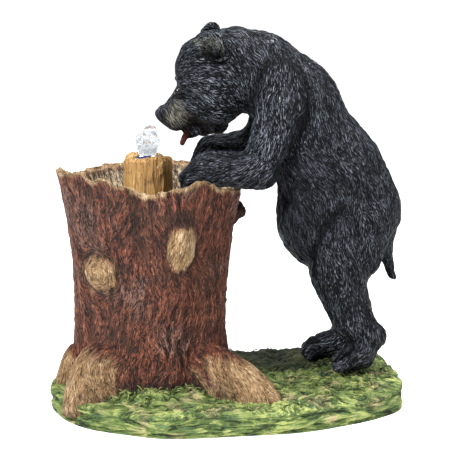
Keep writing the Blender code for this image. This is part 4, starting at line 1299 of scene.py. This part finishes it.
def standing_bear():
    """The whole figure: the CAD bear's skin made fine, settled on the clay masses, and carved into fur."""
    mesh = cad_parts["bear"].data.copy()
    bm = bmesh.new()
    bm.from_mesh(mesh)
    bmesh.ops.remove_doubles(bm, verts=bm.verts, dist=0.00002)
    bpy.data.meshes.remove(mesh)
    piece = new_piece("bear_figure", bm, fur_finish())
    mesh = fused(piece, 0.00236)
    places = settle(vertex_places(mesh), bear_distance, 5)
    mesh.vertices.foreach_set("co", places.ravel())
    mesh.update()
    normals = vertex_normals(mesh)
    skull = in_head(places)
    eyes = nearest((eye_ball(-1), eye_ball(1)), skull)
    nose = mass_distance(nose_pad(), skull)
    lick = mass_distance(tongue(), skull)
    gloss = np.maximum(ramp_between(eyes, 0.0012, 0.0004), ramp_between(nose, 0.0016, 0.0003))
    licked = ramp_between(lick, 0.0012, 0.0003)
    # the tan patch lies along the muzzle's side, behind the nose
    muzzle = np.zeros(len(places))
    ragged = 0.22 * clay_noise(places / 0.006, 46)
    for out in (-1, 1):
        patch = (skull - share(49.6, 3.9 * out, 74.6)) / (np.array((3.6, 3.2, 4.4)) * UNIT)
        muzzle = np.maximum(muzzle, ramp_between(np.linalg.norm(patch, axis=1) + ragged, 1.35, 0.50))
    muzzle = muzzle * (1.0 - gloss) * (1.0 - licked)
    flow = fur_flow(places, normals)
    bare = np.maximum(gloss, licked)
    snout = np.linalg.norm((skull - share(50.0, 0.0, 75.0)) / (9.0 * UNIT), axis=1)
    length = 1.0 - 0.65 * ramp_between(snout, 1.3, 0.7)
    ruff = spot(places, 37.5, 80.0, 4.5, 9.0)
    trunk = group_distance([(torso(), 0.026)], places)
    folds = np.zeros(len(places))
    for flesh in (NEAR_ARM[:2], FAR_ARM[:2]):
        folds = np.maximum(folds, 0.55 * seam(group_distance([(flesh, 0.012)], places), trunk))
    # the thigh's front edge, where it swells over the belly
    profile = side_view(places)
    edge = line_distance(profile, THIGH_EDGE)
    beside = ramp_between(np.abs(places[:, 1] - BEAR_Y), 0.040, 0.056)
    folds = np.maximum(folds, 0.75 * bump(edge, 1.1) * beside)
    inside_thigh = np.hypot((profile[:, 0] - 1.0) / 11.0, (profile[:, 1] - 36.5) / 13.5)
    skin = group_distance([(head() + cheeks(), 0.010)], skull)
    flaps = nearest(ears(), skull)
    cups = nearest(ear_cups(), skull)
    behind_ear = bump(flaps - skin, 0.0030) * ramp_between(flaps, 0.007, 0.003)
    folds = np.maximum(folds, behind_ear)
    ear = ramp_between(cups, 0.0042, 0.0014) * ramp_between(flaps, 0.006, 0.003)
    # the ear's front edge is pale, and its lower half is in shadow
    ear_dark = ear * ramp_between(skull[:, 2], share(0, 0, 98.2)[2], share(0, 0, 95.0)[2])
    toes = np.zeros(len(places))
    for row in (NEAR_LEG[4:], FAR_LEG[4:], NEAR_ARM[4:], FAR_ARM[4:]):
        toes = np.maximum(toes, grooves(row, places))
    hair = brushed(places, flow, 0.0042, 0.0110, 43)
    lock = brushed(places, flow, 0.0080, 0.0200, 44)
    relief = (HAIR_RELIEF * hair + (LOCK_RELIEF + RUFF_RELIEF * ruff) * lock) * length - FUR_CUT
    relief = relief + THIGH_SWELL * ramp_between(inside_thigh, 1.05, 0.70) * beside
    relief = relief * (1.0 - bare) * (1.0 - 0.7 * toes) - TOE_GROOVE * toes - FOLD_DEPTH * folds
    places = places + normals * relief[:, None]
    mesh.vertices.foreach_set("co", places.ravel())
    mesh.update()
    # the raised fur that the dry brush catches, held down as painted shade in the toe grooves, the folds and
    # the ear's lower half
    ridge = np.clip(0.5 + 0.30 * hair + 0.28 * lock - 0.7 * toes - 0.8 * folds - 0.8 * ear_dark, 0.0, 1.0)
    height = (places[:, 2] - STANCE) / BEAR_HEIGHT
    # how much pale slate shows: more on the ruff; painted highlights where the light falls on the upper arm,
    # the shoulder, the back and the feet; painted shade that dims it over the hip and under the belly; it
    # fades out at the soles and stays off the toes, the folds and the ear's lower half
    shine = 0.50 + 0.30 * clay_noise(places / 0.040, 45) + 0.6 * ruff
    shine = shine + 0.45 * spot(places, 25.0, 69.0, 5.0, 9.0) + 0.35 * spot(places, 20.0, 89.0, 12.0, 8.0)
    shine = shine - 0.20 * spot(places, 0.0, 40.0, 14.0, 18.0) + 0.30 * spot(places, 22.0, 74.0, 6.0, 9.0)
    shine = shine - 0.35 * spot(places, 19.0, 45.0, 6.0, 12.0) + 0.5 * spot(places, 3.0, 5.0, 8.0, 5.0)
    shine = np.clip(shine, 0.08, 1.0) * ramp_between(height, -0.06, 0.02)
    shine = shine * (1.0 - toes) * (1.0 - 0.8 * folds) * (1.0 - ear_dark)
    # painted highlight: a pale ring round each eye, carried in the ear's olive mark
    painted_eye_highlight = bump(eyes - 0.0018, 0.0008) * (1.0 - gloss)
    near_side = ramp_between(BEAR_Y - places[:, 1], 0.020, 0.030)
    edge_pale = bump(line_distance(profile, EAR_EDGE), 0.75) * near_side
    ear = np.maximum(np.maximum(ear * (1.0 - ear_dark), 0.35 * painted_eye_highlight), edge_pale)
    # painted shade in the toe grooves, the folds and the ear's lower half
    hollow = np.clip(np.maximum(np.maximum(toes, 0.9 * folds), ear_dark), 0.0, 1.0)
    for title, values in (("ridge", ridge), ("shine", shine), ("gloss", gloss), ("tongue", licked),
                          ("muzzle", muzzle), ("ear", ear), ("hollow", hollow), ("flow", flow)):
        mark(mesh, title, values.reshape(len(places), -1))
    return piece


bear = standing_bear()
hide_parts("bear")
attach(bear, "root")

# The floor: a plain pale sweep of painted board, flat under the fountain and big enough to fill every
# view. It isn't part of the fountain.
FLOOR_RADIUS = 40.0
FLOOR_RIM = 12.0


def pale_floor():
    """A wide disc with a tall rim, which closes every view; to the camera it glows a little."""
    material, tree, shader = new_finish("floor_paint")
    grain = speckle(tree, 0.5)
    tree.links.new(painted(tree, (0.82, 0.82, 0.82), (0.86, 0.86, 0.86), grain), shader.inputs["Base Color"])
    shader.inputs["Roughness"].default_value = 0.9
    shader.inputs["Specular IOR Level"].default_value = 0.1
    shader.inputs["Emission Color"].default_value = (1.0, 1.0, 1.0, 1.0)
    seen = node(tree, "LightPath").outputs["Is Camera Ray"]
    tree.links.new(sums(tree, "MULTIPLY", seen, 0.80), shader.inputs["Emission Strength"])
    sides = 96
    turn = 2.0 * np.pi * np.arange(sides) / sides
    disc = np.stack([FLOOR_RADIUS * np.cos(turn), FLOOR_RADIUS * np.sin(turn), np.zeros(sides)], -1)
    index = np.arange(sides)
    after = np.roll(index, -1)
    rim = np.stack([index, after, after + sides, index + sides], -1)
    mesh = bpy.data.meshes.new("floor")
    mesh.from_pydata(np.concatenate([disc, disc + (0.0, 0.0, FLOOR_RIM)]).tolist(), [],
                     [index.tolist()] + rim.tolist())
    mesh.materials.append(material)
    piece = bpy.data.objects.new("floor", mesh)
    bpy.context.scene.collection.objects.link(piece)
    return piece


floor = pale_floor()

# The light: a pale sky all round, a big soft lamp high at the left front, a weaker one at the right,
# and one above and behind that draws the edges.


def sky(strength):
    """An even white light from all round."""
    world = bpy.data.worlds.new("studio")
    world.use_nodes = True
    back = world.node_tree.nodes["Background"]
    back.inputs["Color"].default_value = (1.0, 1.0, 1.0, 1.0)
    back.inputs["Strength"].default_value = strength
    bpy.context.scene.world = world


def soft_lamp(name, place, aim, size, watts):
    """A round lamp at a place, turned to shine at its aim."""
    lamp = bpy.data.lights.new(name, "AREA")
    lamp.shape = "DISK"
    lamp.size = size
    lamp.energy = watts
    thing = bpy.data.objects.new(name, lamp)
    thing.location = place
    thing.rotation_euler = (Vector(aim) - Vector(place)).to_track_quat("-Z", "Y").to_euler()
    bpy.context.scene.collection.objects.link(thing)


sky(0.33)
soft_lamp("key", (-1.5, -1.8, 2.1), (0.0, 0.0, 0.25), 0.5, 92)
soft_lamp("fill", (1.9, -1.6, 1.1), (0.0, 0.0, 0.25), 1.0, 24)
soft_lamp("edge", (0.5, 0.4, 2.4), (0.0, 0.0, 0.3), 0.6, 38)

# The camera: it stands where the photograph was taken from, about two metres in front and a little
# above the bear, and looks down at it.
CAMERA_PLACE = (0.005, -2.0175, 0.66)
AIM_HEIGHT = 0.26333
AIM_REACH = 2.0


def photo_camera():
    """A long lens, tipped so that it looks at the aim's height at the aim's reach."""
    lens = bpy.data.cameras.new("photo")
    lens.lens = 110.43
    lens.sensor_width = 36.0
    lens.clip_start = 0.05
    view = bpy.data.objects.new("photo", lens)
    view.location = CAMERA_PLACE
    view.rotation_euler = (np.arctan2(AIM_REACH, CAMERA_PLACE[2] - AIM_HEIGHT), 0.0, 0.0)
    bpy.context.scene.collection.objects.link(view)
    bpy.context.scene.camera = view


photo_camera()
bpy.context.scene.view_settings.view_transform = "Standard"
